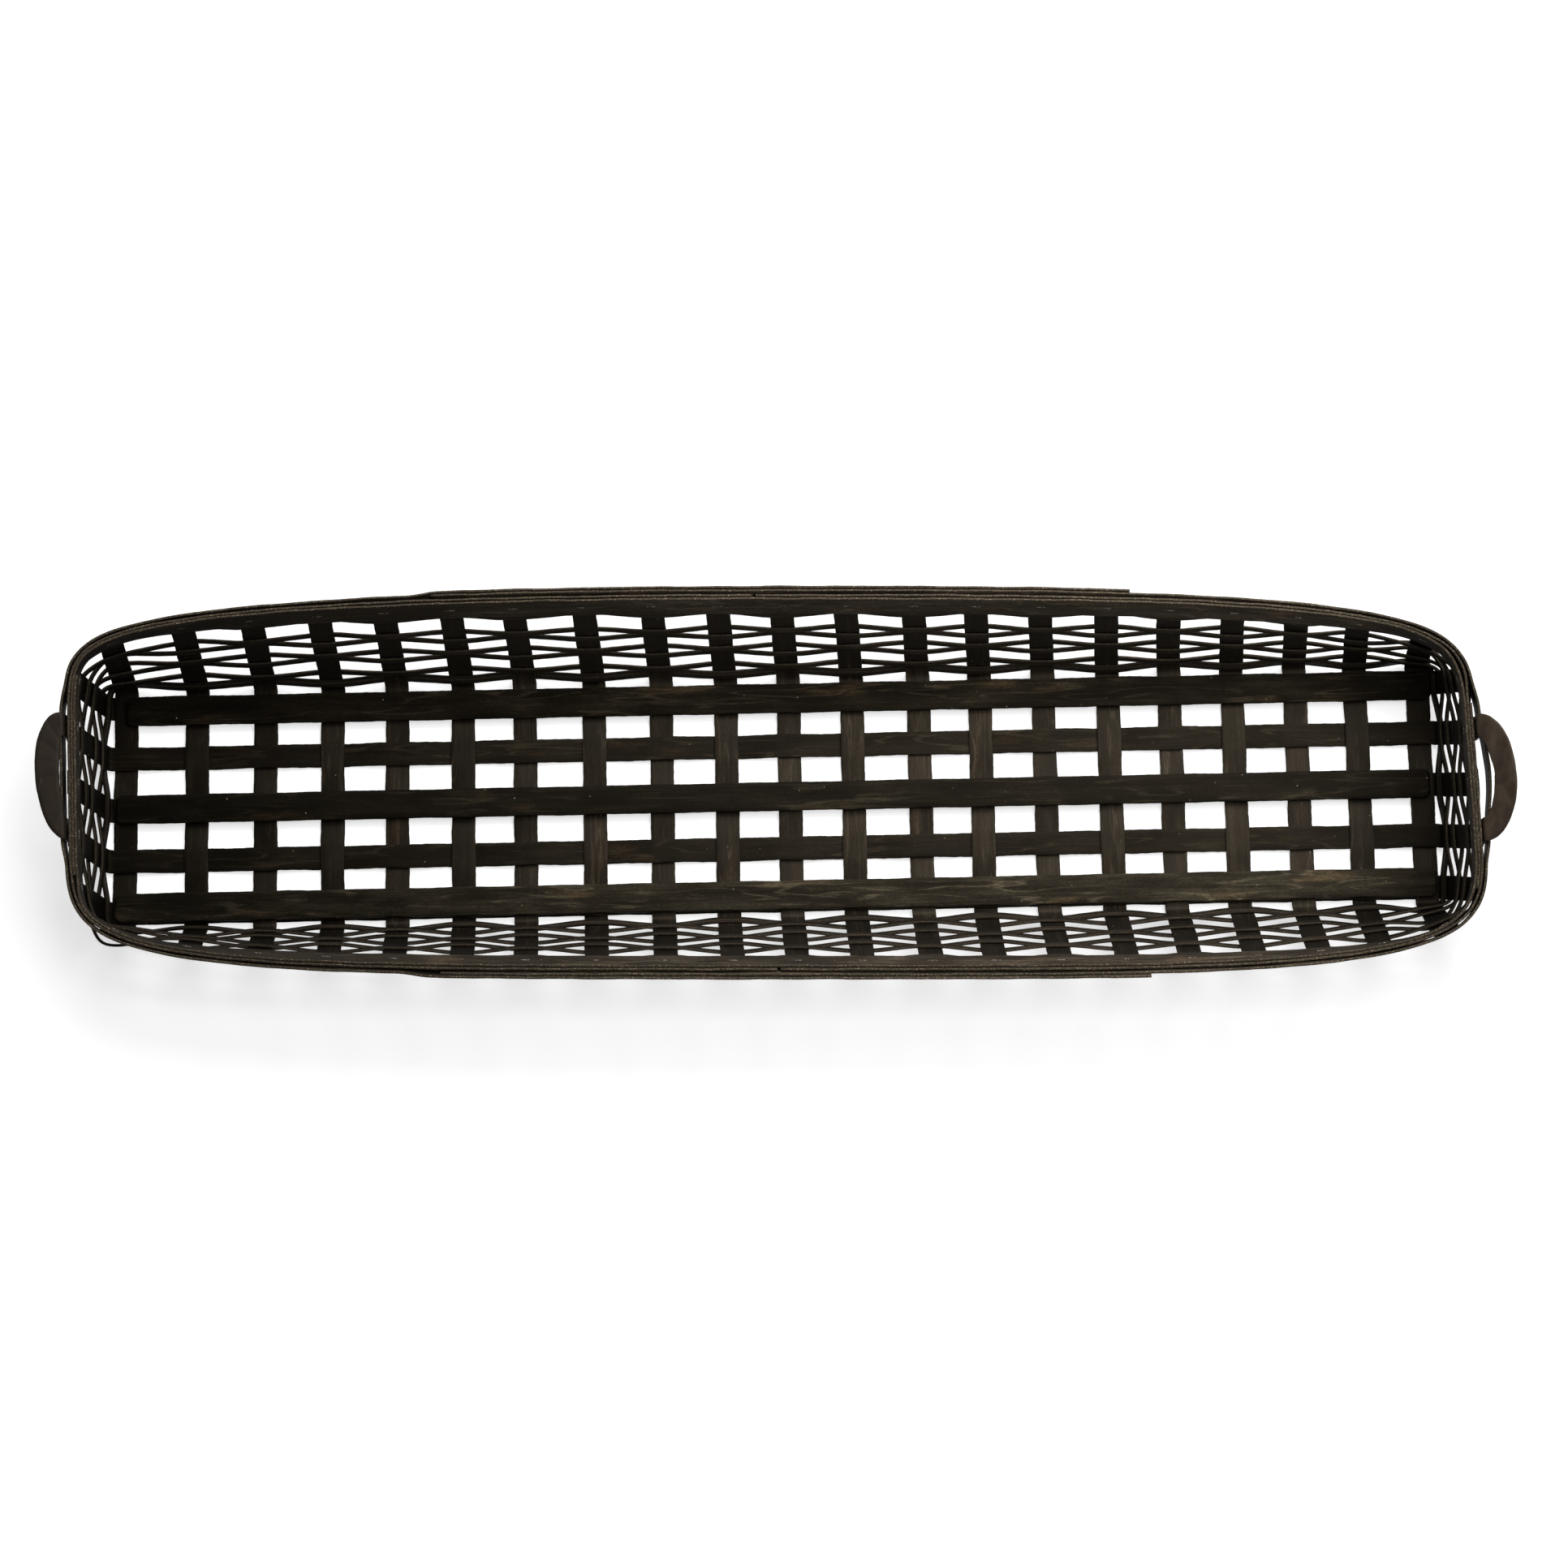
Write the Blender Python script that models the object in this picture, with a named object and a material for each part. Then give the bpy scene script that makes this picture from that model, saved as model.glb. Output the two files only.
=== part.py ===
"""Long narrow open-weave splint basket with a leather ear handle at each end.

Metres, +Z up. The origin is on the surface that the basket stands on, under its middle.
+X runs along the basket and +Y across it. Every splint, weaver and band is a flat strip of
wood carried along its own path, with a small clearance where it passes another strip.
"""

import math

import bmesh
import bpy
import numpy as np

# Splints of the base, which turn up at its edges and become the uprights of the walls
splint_width = 0.0127
splint_thickness = 0.0012
crosswise_spread = 0.692
crosswise_place_shares = (
    -0.998, -0.888, -0.782, -0.678, -0.578, -0.476, -0.380, -0.273, -0.169, -0.069, 0.028,
    0.126, 0.229, 0.324, 0.422, 0.522, 0.617, 0.714, 0.811, 0.904, 1.0)
lengthwise_count = 5
lengthwise_pitch = 0.0277
clearance = 0.0003
side_margin = 0.0011
end_margin = 0.0009
bend_radius = 0.0012
base_twist = math.radians(1.16)

# Reinforcing slats on the inside of the base
slat_width = 0.0155
slat_thickness = 0.002
slat_end_inset = 0.001
slat_clip = 0.0022
slat_inset = 0.0024

# Walls, which lean out by the flares from the base's edge up to the rim. Each corner of the rim
# has its squareness along the side and across the end, and the bands lean less near the ends
wall_height = 0.054
left_flare = 0.0111
right_flare = 0.0134
side_flare = 0.0357
rim_rack = math.radians(2.6)
corner_squareness = {"far_right": (3.1, 7.5), "far_left": (2.15, 8.1),
                     "near_left": (4.1, 7.1), "near_right": (4.1, 6.2)}
reach_steps = 12
band_lean_power = 6
upright_trim = 0.0012
knee_drop = 0.0008
upright_most_twist = math.radians(8)

# Thin weavers, counted from the base up. A first side of 1 is outside the first upright
weaver_width = 0.003
weaver_thickness = 0.0011
weaver_clearance = 0.0004
corner_turn = math.radians(30)
weaver_pair_shares = (0.178, 0.462, 0.706)
weaver_pair_rise = 0.0037
top_weaver_drop = 0.0026
weaver_first_sides = (-1, 1, 1, -1, -1, 1, 1)

# Bands of the rim
band_width = 0.0111
band_thickness = 0.0014
band_clearance = 0.00045
butt_gap = 0.0017
left_joint_far_share = -0.012
inner_lap_shares = (0.57, -0.50)
right_lap_shares = (0.41, -0.57)
outer_right_end_shares = (-0.50, -0.487)
outer_left_end_shares = (0.487, 0.525)
band_longest_step = 0.036
band_most_turn = math.radians(9)
band_most_tilt = math.radians(2.5)
band_chord_error = 0.00012
lap_run = 0.018
stand_off_share = 0.60
corner_share = 0.85
rim_sample_count = 7200
least_rim_step = math.radians(0.4)
angle_probe = 1e-4

# Leather handles
strap_width = 0.0127
strap_thickness = 0.0018
handle_span = 0.0545
left_handle_reach = 0.0158
right_handle_reach = 0.0202
handle_shift = 0.004
left_handle_lean = math.radians(10)
right_handle_lean = math.radians(40)
strap_end_length = 0.0095
arch_steps = 18

layer_step = splint_thickness + clearance
base_half_width = ((lengthwise_count - 1) * lengthwise_pitch / 2
                   + splint_width / 2 + side_margin + splint_thickness / 2)
crosswise_count = len(crosswise_place_shares)
base_half_length = crosswise_spread / 2 + splint_width / 2 + end_margin + splint_thickness / 2
slat_length = crosswise_spread - 2 * slat_end_inset
rim_left = base_half_length + left_flare
rim_right = base_half_length + right_flare
rim_length = rim_left + rim_right
rim_width = 2 * (base_half_width + side_flare)
open_height = wall_height - band_width
layer_spacing = band_thickness + band_clearance
first_layer = splint_thickness / 2 + band_clearance + band_thickness / 2
strap_offset = splint_thickness / 2 + band_clearance + strap_thickness / 2
stand_off_layer = strap_offset + strap_thickness / 2 + band_clearance + band_thickness / 2


def clear_scene():
    for existing in list(bpy.data.objects):
        bpy.data.objects.remove(existing, do_unlink=True)


def make_material(name, colour, roughness):
    material = bpy.data.materials.new(name)
    material.use_nodes = True
    shader = material.node_tree.nodes["Principled BSDF"]
    shader.inputs["Base Color"].default_value = (*colour, 1.0)
    shader.inputs["Roughness"].default_value = roughness
    shader.inputs["Metallic"].default_value = 0.0
    return material


def add_object(name, points, faces, material, location=(0.0, 0.0, 0.0)):
    mesh = bpy.data.meshes.new(name)
    shell = bmesh.new()
    corners = [shell.verts.new(tuple(point)) for point in points]
    for face in faces:
        shell.faces.new([corners[i] for i in face])
    bmesh.ops.recalc_face_normals(shell, faces=shell.faces)
    shell.to_mesh(mesh)
    shell.free()
    mesh.materials.append(material)
    piece = bpy.data.objects.new(name, mesh)
    piece.location = location
    bpy.context.scene.collection.objects.link(piece)
    return piece


def unit(vectors):
    vectors = np.asarray(vectors, float)
    return vectors / np.linalg.norm(vectors, axis=-1, keepdims=True)


def strip_sections(path, across, width, thickness, closed):
    """Corners of a flat strip's section at each point of its path, thickened evenly at bends."""
    path = np.asarray(path, float)
    if closed:
        ahead = unit(np.roll(path, -1, axis=0) - path)
        behind = np.roll(ahead, 1, axis=0)
    else:
        runs = unit(np.diff(path, axis=0))
        ahead = np.vstack([runs, runs[-1:]])
        behind = np.vstack([runs[:1], runs])
    along = unit(ahead + behind)
    across = np.asarray(across, float)
    normal = unit(np.cross(along, across))
    stretch = 1 / (ahead * along).sum(1, keepdims=True)
    half_width = across * width / 2
    half_thickness = normal * thickness / 2 * stretch
    return np.stack([path - half_width - half_thickness, path + half_width - half_thickness,
                     path + half_width + half_thickness, path - half_width + half_thickness], axis=1)


def strip_object(name, path, across, width, thickness, material, closed=False):
    sections = strip_sections(path, across, width, thickness, closed)
    count = len(sections)
    faces = []
    for i in range(count if closed else count - 1):
        here, there = 4 * i, 4 * ((i + 1) % count)
        for k in range(4):
            m = (k + 1) % 4
            faces.append((here + k, here + m, there + m, there + k))
    if not closed:
        faces.append((3, 2, 1, 0))
        last = 4 * (count - 1)
        faces.append((last, last + 1, last + 2, last + 3))
    return add_object(name, sections.reshape(-1, 3), faces, material)


def turned(x, y, z=0.0):
    """A point of the woven base, which sits a little askew of the rim."""
    cosine, sine = math.cos(base_twist), math.sin(base_twist)
    return np.array([cosine * x - sine * y, sine * x + cosine * y, z])


def corner_of(right, far):
    """The rim's half length at this end, and the corner's squareness along the side and the end."""
    name = f"{'far' if far else 'near'}_{'right' if right else 'left'}"
    return (rim_right if right else rim_left), *corner_squareness[name]


def outline_point(angle):
    """The line of the uprights at the rim, racked a little lengthwise.

    Each quarter is a superellipse with a power of its own along each axis. Its reach at an angle
    is found by Newton's steps inward from the rectangle round it.
    """
    cosine, sine = math.cos(angle), math.sin(angle)
    half_length, side_power, end_power = corner_of(cosine > 0, sine > 0)
    along, beside = abs(cosine) / half_length, abs(sine) / (rim_width / 2)
    reach = 1 / max(along, beside)
    for _ in range(reach_steps):
        side_term, end_term = (reach * along) ** side_power, (reach * beside) ** end_power
        reach -= reach * (side_term + end_term - 1) / (side_power * side_term + end_power * end_term)
    x, y = reach * cosine, reach * sine
    return np.array([x - y * math.tan(rim_rack), y, wall_height])


def outline_angle_at_x(x, far):
    """The outline's angle at this place along the basket, on the far or near side."""
    half_length, side_power, end_power = corner_of(x > 0, far)
    y = (1 - abs(x / half_length) ** side_power) ** (1 / end_power) * rim_width / 2
    return math.atan2(y if far else -y, x) % (2 * math.pi)


def outline_angle_at_y(y, right):
    """The outline's angle at this place across the basket, at the right or left end."""
    half_length, side_power, end_power = corner_of(right, y > 0)
    x = (1 - abs(y / (rim_width / 2)) ** end_power) ** (1 / side_power) * half_length
    return math.atan2(y, x if right else -x) % (2 * math.pi)


def wall_frame(angle):
    """The rim point at this angle with the wall's level outward, along and upward directions there."""
    point = outline_point(angle)
    along = unit(outline_point(angle + angle_probe) - outline_point(angle - angle_probe))
    outward = np.array([along[1], -along[0], 0.0])
    beyond = np.hypot(max(abs(point[0]) - base_half_length, 0.0),
                      max(abs(point[1]) - base_half_width, 0.0))
    lean_share = 1 - min(1.0, abs(point[0]) / (rim_length / 2)) ** band_lean_power
    upward = unit(outward * beyond * lean_share + np.array([0.0, 0.0, wall_height]))
    return point, outward, along, upward


def chord_sag(angle):
    """How far the rim's curve stands out from the middle of a flat splint's chord there."""
    moved = outline_point(angle + angle_probe) - outline_point(angle - angle_probe)
    half_chord = splint_width * angle_probe / np.linalg.norm(moved)
    chord_middle = (outline_point(angle + half_chord) + outline_point(angle - half_chord)) / 2
    return np.linalg.norm(outline_point(angle) - chord_middle)


def layer_point(angle, offset):
    """A point level with the rim's top, this far out from the uprights, square to the wall.

    The bands keep a little further off where the rim curves, to clear the flat uprights.
    """
    point, outward, _, upward = wall_frame(angle)
    return point + outward * (offset / upward[2] + math.copysign(chord_sag(angle) / 2, offset))


def rim_angle_samples():
    """Angles round the whole rim, closer together where it turns."""
    fine = [2 * math.pi * i / rim_sample_count for i in range(rim_sample_count)]
    chosen = [fine[0]]
    last_point, _, last_along, last_upward = wall_frame(fine[0])
    for angle in fine[1:]:
        point, _, along, upward = wall_frame(angle)
        step = np.linalg.norm(point - last_point)
        turn = math.acos(min(1.0, float(along @ last_along)))
        too_coarse = step * turn > 8 * band_chord_error
        tilt = math.acos(min(1.0, float(upward @ last_upward)))
        if too_coarse or step > band_longest_step or turn > band_most_turn or tilt > band_most_tilt:
            chosen.append(angle)
            last_point, last_along, last_upward = point, along, upward
    return chosen


def rim_angles(start, end, steps_at=()):
    """Angles from one end of a band to its other, anticlockwise, with any that it must step at."""
    turns = [angle + lap * 2 * math.pi for lap in (-1, 0, 1) for angle in rim_samples]
    stops = [start, *steps_at, end]
    between = [angle for angle in turns if start < angle < end
               and min(abs(angle - stop) for stop in stops) > least_rim_step]
    return sorted(stops + between)


def eased(value):
    value = min(1.0, max(0.0, value))
    return value * value * (3 - 2 * value)


def at_right(point):
    return point[0] > rim_length / 4


def at_left(point):
    return point[0] < -rim_length / 4


def end_share(point):
    """1 across an end of the basket, easing to 0 at its corners."""
    level = abs(point[1]) / (rim_width / 2)
    return 1.0 - eased((level - stand_off_share) / (corner_share - stand_off_share))


def band_object(name, start, end, offset_at, material, steps_at=()):
    """A rim band from one angle to another, its offset from the uprights given by a function."""
    path, across = [], []
    for angle in rim_angles(start, end, steps_at):
        point, _, _, upward = wall_frame(angle)
        path.append(layer_point(angle, offset_at(point)) - upward * band_width / 2)
        across.append(upward)
    return strip_object(name, path, across, band_width, band_thickness, material)


def lapped(beyond):
    """1 where another band's end lies alongside, easing to 0 with the distance beyond that end."""
    return 1.0 - eased((beyond - clearance) / lap_run)


def is_over(cross_number, length_number):
    """Whether a crosswise splint lies over a lengthwise one. Both are numbered from 1."""
    return (cross_number + length_number) % 2 == 0


def level(over):
    return splint_thickness / 2 + (layer_step if over else 0.0)


def upright_line(foot, angle, side_across):
    """Foot and rim points of an upright, with the strip's direction across at both.

    Where the rim curves, the flat strip's middle lies halfway between the curve and its chord.
    """
    point, _, along, upward = wall_frame(angle)
    outward_of_chord = np.array([along[1], -along[0], 0.0])
    point = point - outward_of_chord * chord_sag(angle) / 2
    if along @ side_across < 0:
        along = -along
    knee = point - upward * (band_width + knee_drop)
    top = point - upward * upright_trim
    return {"foot": foot, "knee": knee, "top": top, "base_across": side_across, "rim_across": along}


def upright_at(line, up):
    """Centre of an upright and its direction across, this share of the way up to the rim bands."""
    centre = line["foot"] + (line["knee"] - line["foot"]) * up
    return centre, unit(line["base_across"] * (1 - up) + line["rim_across"] * up)


def turn_up(line, from_inside, height):
    """Path of a bend from the base into the wall, and on up to the top of the upright."""
    rise = unit(line["knee"] - line["foot"])
    corner = line["foot"] + rise * height / rise[2]
    inward = unit(from_inside - corner)
    start, finish = corner + inward * bend_radius, corner + rise * bend_radius
    middle = (start + 2 * corner + finish) / 4
    path, across = [start, middle, finish], [line["base_across"]] * 3
    twist = math.acos(min(1.0, float(line["base_across"] @ line["rim_across"])))
    steps = math.ceil(twist / upright_most_twist)
    first_up = finish[2] / line["knee"][2]
    for step in range(1, steps):
        centre, beside = upright_at(line, first_up + (1 - first_up) * step / steps)
        path.append(centre)
        across.append(beside)
    path += [line["knee"], line["top"]]
    across += [line["rim_across"]] * 2
    return path, across


def crosswise_lines(number):
    """Near and far uprights of one crosswise splint."""
    x = crosswise_place_shares[number - 1] * crosswise_spread / 2
    across = turned(1, 0)
    lines = []
    for side in (-1, 1):
        foot = turned(x, side * base_half_width)
        angle = outline_angle_at_x(x, side > 0)
        lines.append(upright_line(foot, angle, across))
    return x, lines


def lengthwise_lines(number):
    """Left and right uprights of one lengthwise splint. Number 1 is the farthest."""
    y = ((lengthwise_count - 1) / 2 - (number - 1)) * lengthwise_pitch
    across = turned(0, 1)
    lines = []
    for side in (-1, 1):
        foot = turned(side * base_half_length, y)
        angle = outline_angle_at_y(y, side > 0)
        lines.append(upright_line(foot, angle, across))
    return y, lines


def splint_object(name, crossings, lines, place, material):
    """A splint: level and stepped over the base, then turned up at both ends."""
    inner = []
    for centre, height in crossings:
        reach = splint_width / 2 + clearance
        inner += [place(centre - reach, height), place(centre + reach, height)]
    first, first_across = turn_up(lines[0], inner[0], crossings[0][1])
    last, last_across = turn_up(lines[1], inner[-1], crossings[-1][1])
    base_across = lines[0]["base_across"]
    path = first[::-1] + inner[1:-1] + last
    across = first_across[::-1] + [base_across] * (len(inner) - 2) + last_across
    return strip_object(name, path, across, splint_width, splint_thickness, material)


def make_crosswise_splints(material):
    for number in range(1, crosswise_count + 1):
        x, lines = crosswise_lines(number)
        crossings = []
        for other in range(lengthwise_count, 0, -1):
            y, _ = lengthwise_lines(other)
            crossings.append((y, level(is_over(number, other))))
        splint_object(f"crosswise_splint_{number:02d}", crossings, lines,
                      lambda centre, height: turned(x, centre, height), material)


def make_lengthwise_splints(material):
    for number in range(1, lengthwise_count + 1):
        y, lines = lengthwise_lines(number)
        crossings = []
        for other in range(1, crosswise_count + 1):
            x, _ = crosswise_lines(other)
            crossings.append((x, level(not is_over(other, number))))
        splint_object(f"lengthwise_splint_{number}", crossings, lines,
                      lambda centre, height: turned(centre, y, height), material)


def make_slats(material):
    """Slats with clipped corners over the first, middle and last lengthwise splints."""
    bottom = splint_thickness + layer_step + clearance
    half_length, half_width = slat_length / 2, slat_width / 2
    corners = []
    for sx, sy in ((-1, -1), (1, -1), (1, 1), (-1, 1)):
        along = (sx * (half_length - slat_clip), sy * half_width)
        aside = (sx * half_length, sy * (half_width - slat_clip))
        corners += [along, aside] if sx * sy < 0 else [aside, along]
    for number, place in ((1, "far"), (3, "middle"), (5, "near")):
        y, _ = lengthwise_lines(number)
        inward = math.copysign(slat_inset, y) if y else 0.0
        points = []
        for height in (bottom, bottom + slat_thickness):
            points += [turned(cx, y - inward + cy, height) for cx, cy in corners]
        count = len(corners)
        faces = [tuple(range(count - 1, -1, -1)), tuple(range(count, 2 * count))]
        faces += [(k, (k + 1) % count, count + (k + 1) % count, count + k) for k in range(count)]
        add_object(f"base_slat_{place}", points, faces, material)


def all_uprights():
    """The lines of every upright in order round the basket, anticlockwise from above."""
    crosswise = [crosswise_lines(number)[1] for number in range(1, crosswise_count + 1)]
    lengthwise = [lengthwise_lines(number)[1] for number in range(1, lengthwise_count + 1)]
    right = [lines[1] for lines in reversed(lengthwise)]
    far = [lines[1] for lines in reversed(crosswise)]
    left = [lines[0] for lines in lengthwise]
    near = [lines[0] for lines in crosswise]
    return right + far + left + near


def weaver_heights():
    """Three pairs of weavers up the open part of the wall, and one more under the bands."""
    heights = []
    for share in weaver_pair_shares:
        middle = share * open_height
        heights += [middle - weaver_pair_rise / 2, middle + weaver_pair_rise / 2]
    return heights + [open_height - top_weaver_drop]


def make_weavers(material):
    """Closed rings that pass outside one upright and inside the next, all the way round."""
    uprights = all_uprights()
    for number, (height, side) in enumerate(zip(weaver_heights(), weaver_first_sides), 1):
        stops = []
        for line in uprights:
            up = height / line["knee"][2]
            centre, beside = upright_at(line, up)
            rise = unit(line["knee"] - line["foot"])
            outward = unit(np.cross(beside, rise))
            if outward @ centre < 0:
                outward = -outward
            if beside @ np.cross([0.0, 0.0, 1.0], outward) < 0:
                beside = -beside
            twist = math.acos(min(1.0, abs(float(line["base_across"] @ line["rim_across"]))))
            twist_room = splint_width * twist * weaver_width / line["knee"][2]
            offset = splint_thickness / 2 + weaver_clearance + weaver_thickness / 2 + twist_room
            stops.append((centre, centre + outward * offset * side, beside, rise))
            side = -side
        path, across = [], []
        for index, (centre, passing, beside, rise) in enumerate(stops):
            before, after = stops[index - 1], stops[(index + 1) % len(stops)]
            for direction, other in ((-1, before), (1, after)):
                turning = beside @ other[2] < math.cos(corner_turn)
                reach = splint_width / 2 + (clearance if turning else weaver_thickness)
                path.append(passing + beside * reach * direction)
                across.append(rise)
                if turning and direction > 0:
                    edge = centre + beside * splint_width / 2
                    other_edge = other[0] - other[2] * splint_width / 2
                    path.append((edge + other_edge) / 2)
                    across.append(unit(rise + other[3]))
        strip_object(f"weaver_{number}", path, across, weaver_width, weaver_thickness,
                     material, closed=True)


def make_rim_bands(material):
    """Inner band, three-piece liner band and two outer half hoops, in layers on the uprights."""
    half_turn = math.pi
    full_turn = 2 * math.pi

    def inner_offset(point):
        extra = end_share(point) if at_right(point) else 0.0
        return -(first_layer + layer_spacing * (1 + extra))

    half_length, half_width = rim_length / 2, rim_width / 2
    lap_far = outline_angle_at_y(inner_lap_shares[0] * half_width, False)
    lap_near = outline_angle_at_y(inner_lap_shares[1] * half_width, False)

    def inner_band_offset(point, started):
        if started:
            over = lapped(inner_lap_shares[1] * half_width - point[1])
            return -(first_layer + layer_spacing * (1 + over))
        return inner_offset(point)

    path, across = [], []
    for angle in rim_angles(lap_far, lap_near + full_turn):
        point, _, _, upward = wall_frame(angle)
        offset = inner_band_offset(point, angle < half_turn * 1.5 and point[0] < 0)
        path.append(layer_point(angle, offset) - upward * band_width / 2)
        across.append(upward)
    strip_object("inner_rim_band", path, across, band_width, band_thickness, material)

    half_gap = butt_gap / 2
    far_joint = left_joint_far_share * half_length
    band_object("liner_band_left", outline_angle_at_x(far_joint - half_gap, True),
                outline_angle_at_x(-half_gap, False), lambda point: -first_layer, material)

    def lapped_offset(point):
        over = lapped(point[1] - right_lap_shares[0] * half_width) if at_right(point) else 0.0
        return -(first_layer + layer_spacing * over)

    right_far_end = outline_angle_at_y(right_lap_shares[1] * half_width, True) - full_turn
    band_object("liner_band_far_right", right_far_end, outline_angle_at_x(far_joint + half_gap, True),
                lapped_offset, material)
    right_near_end = outline_angle_at_y(right_lap_shares[0] * half_width, True)
    band_object("liner_band_near_right", outline_angle_at_x(half_gap, False) - full_turn,
                right_near_end, lambda point: -first_layer, material)
    right_band_far, right_band_near = (share * half_length for share in outer_right_end_shares)
    left_band_far, left_band_near = (share * half_length for share in outer_left_end_shares)

    def right_outer_offset(point):
        extra = end_share(point) if at_right(point) else 0.0
        return first_layer + (stand_off_layer - first_layer) * extra

    band_object("outer_rim_band_right", outline_angle_at_x(right_band_near, False) - full_turn,
                outline_angle_at_x(right_band_far, True), right_outer_offset, material)

    def left_outer_offset(point):
        extra = end_share(point) if at_left(point) else 0.0
        over = lapped((right_band_far if point[1] > 0 else right_band_near) - point[0])
        side_layer = first_layer + layer_spacing * over
        return side_layer + (stand_off_layer - side_layer) * extra

    leaves_at = [outline_angle_at_x(band_end - beyond, far)
                 for band_end, far in ((right_band_far, True), (right_band_near, False))
                 for beyond in (clearance, lap_run / 2, clearance + lap_run)]
    band_object("outer_rim_band_left", outline_angle_at_x(left_band_far, True),
                outline_angle_at_x(left_band_near, False), left_outer_offset, material, leaves_at)


def make_handle(name, right, handle_reach, handle_lean, leather):
    """A leather strap arch, hinged where its ends come out of the rim, and those two strap ends."""
    side = 1 if right else -1
    middle_angle = outline_angle_at_y(handle_shift, right)
    pivot = layer_point(middle_angle, strap_offset)
    pivot[2] = wall_height + clearance + strap_thickness / 2
    axis = unit(np.array([-math.tan(rim_rack), 1.0, 0.0]))
    level_out = unit(np.cross(axis, [0.0, 0.0, 1.0])) * side
    reach_direction = level_out * math.cos(handle_lean) + np.array([0, 0, math.sin(handle_lean)])
    face_normal = np.cross(axis, reach_direction)

    half_outer, half_inner = (handle_span + strap_width) / 2, (handle_span - strap_width) / 2
    half_thick = strap_thickness / 2
    points = []

    def add_section(inner, outer, reach_inner, reach_outer):
        for along, reach in ((inner, reach_inner), (outer, reach_outer)):
            for lift in (-half_thick, half_thick):
                points.append(axis * along + reach_direction * reach + face_normal * lift)

    for step in range(arch_steps + 1):
        sweep = math.pi * step / arch_steps
        add_section(half_inner * math.cos(sweep), half_outer * math.cos(sweep),
                    (handle_reach - strap_width) * math.sin(sweep), handle_reach * math.sin(sweep))
    faces = []
    for step in range(arch_steps):
        a, b = 4 * step, 4 * (step + 1)
        faces += [(a, b, b + 1, a + 1), (a + 1, b + 1, b + 3, a + 3),
                  (a + 3, b + 3, b + 2, a + 2), (a + 2, b + 2, b, a)]

    # Each root is rounded about the axis, so that it clears the rim at every angle
    for first, sign in ((0, 1), (4 * arch_steps, -1)):
        root = [(first, first + 2)]
        for turn in (math.pi / 4, math.pi / 2, 3 * math.pi / 4):
            reach, lift = -half_thick * math.sin(turn), -half_thick * math.cos(turn)
            root.append((len(points), len(points) + 1))
            for along in (half_inner * sign, half_outer * sign):
                points.append(axis * along + reach_direction * reach + face_normal * lift)
        root.append((first + 1, first + 3))
        faces += [(a, b, d, c) for (a, b), (c, d) in zip(root, root[1:])]
        faces += [tuple(inner for inner, _ in root), tuple(outer for _, outer in root)]
    add_object(f"handle_strap_{name}", points, faces, leather, location=tuple(pivot))

    for place, sign in (("far", 1), ("near", -1)):
        along_y = handle_shift + sign * handle_span / 2
        angle = outline_angle_at_y(along_y, right)
        _, _, along, upward = wall_frame(angle)
        top = layer_point(angle, strap_offset)
        path = [top - upward * strap_end_length, top]
        strip_object(f"strap_end_{name}_{place}", path, [along, along], strap_width,
                     strap_thickness, leather)


clear_scene()
rim_samples = rim_angle_samples()
splint_wood = make_material("stained_splint", (0.020, 0.015, 0.012), 0.62)
slat_wood = make_material("stained_slat", (0.026, 0.019, 0.014), 0.58)
weaver_wood = make_material("stained_weaver", (0.020, 0.015, 0.012), 0.58)
band_wood = make_material("stained_band", (0.028, 0.021, 0.016), 0.60)
strap_leather = make_material("dark_leather", (0.040, 0.032, 0.027), 0.48)
make_crosswise_splints(splint_wood)
make_lengthwise_splints(splint_wood)
make_slats(slat_wood)
make_weavers(weaver_wood)
make_rim_bands(band_wood)
make_handle("left", False, left_handle_reach, left_handle_lean, strap_leather)
make_handle("right", True, right_handle_reach, right_handle_lean, strap_leather)
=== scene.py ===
"""Looks of a long open-weave basket: stained wood splints, a layered rim and two leather ears."""

import math

import bpy
import numpy as np
from mathutils import Matrix, Vector


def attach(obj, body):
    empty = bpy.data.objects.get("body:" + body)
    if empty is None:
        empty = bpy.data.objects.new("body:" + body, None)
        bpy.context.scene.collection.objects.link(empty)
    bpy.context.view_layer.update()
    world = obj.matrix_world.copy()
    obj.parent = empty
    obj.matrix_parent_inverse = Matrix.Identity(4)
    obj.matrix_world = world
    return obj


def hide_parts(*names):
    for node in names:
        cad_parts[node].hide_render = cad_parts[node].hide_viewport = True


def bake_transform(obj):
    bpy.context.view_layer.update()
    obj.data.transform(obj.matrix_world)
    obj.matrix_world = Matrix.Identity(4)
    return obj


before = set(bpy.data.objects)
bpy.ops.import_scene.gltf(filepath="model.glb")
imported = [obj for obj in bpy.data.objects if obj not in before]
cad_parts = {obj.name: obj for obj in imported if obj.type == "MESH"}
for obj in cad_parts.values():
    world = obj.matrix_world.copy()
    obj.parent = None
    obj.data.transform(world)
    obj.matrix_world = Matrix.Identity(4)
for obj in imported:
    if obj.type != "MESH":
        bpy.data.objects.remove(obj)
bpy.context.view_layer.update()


# Crosswise splints
# Strips of sliced hardwood, dyed near black. They run under and over the lengthwise ones, and
# both ends bend up into uprights that lean out and turn a little to meet the curve of the rim.
splint_width = 0.0127
splint_thickness = 0.0012
splint_gap = 0.0003
layer_step = splint_thickness + splint_gap
splint_step = 0.0012
splint_softness = 0.0013
base_twist = math.radians(1.16)
crosswise_spread = 0.692
crosswise_place_shares = np.array([
    -0.998, -0.888, -0.782, -0.678, -0.578, -0.476, -0.380, -0.273, -0.169, -0.069, 0.028,
    0.126, 0.229, 0.324, 0.422, 0.522, 0.617, 0.714, 0.811, 0.904, 1.0])
lengthwise_spacing = 0.0277
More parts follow.
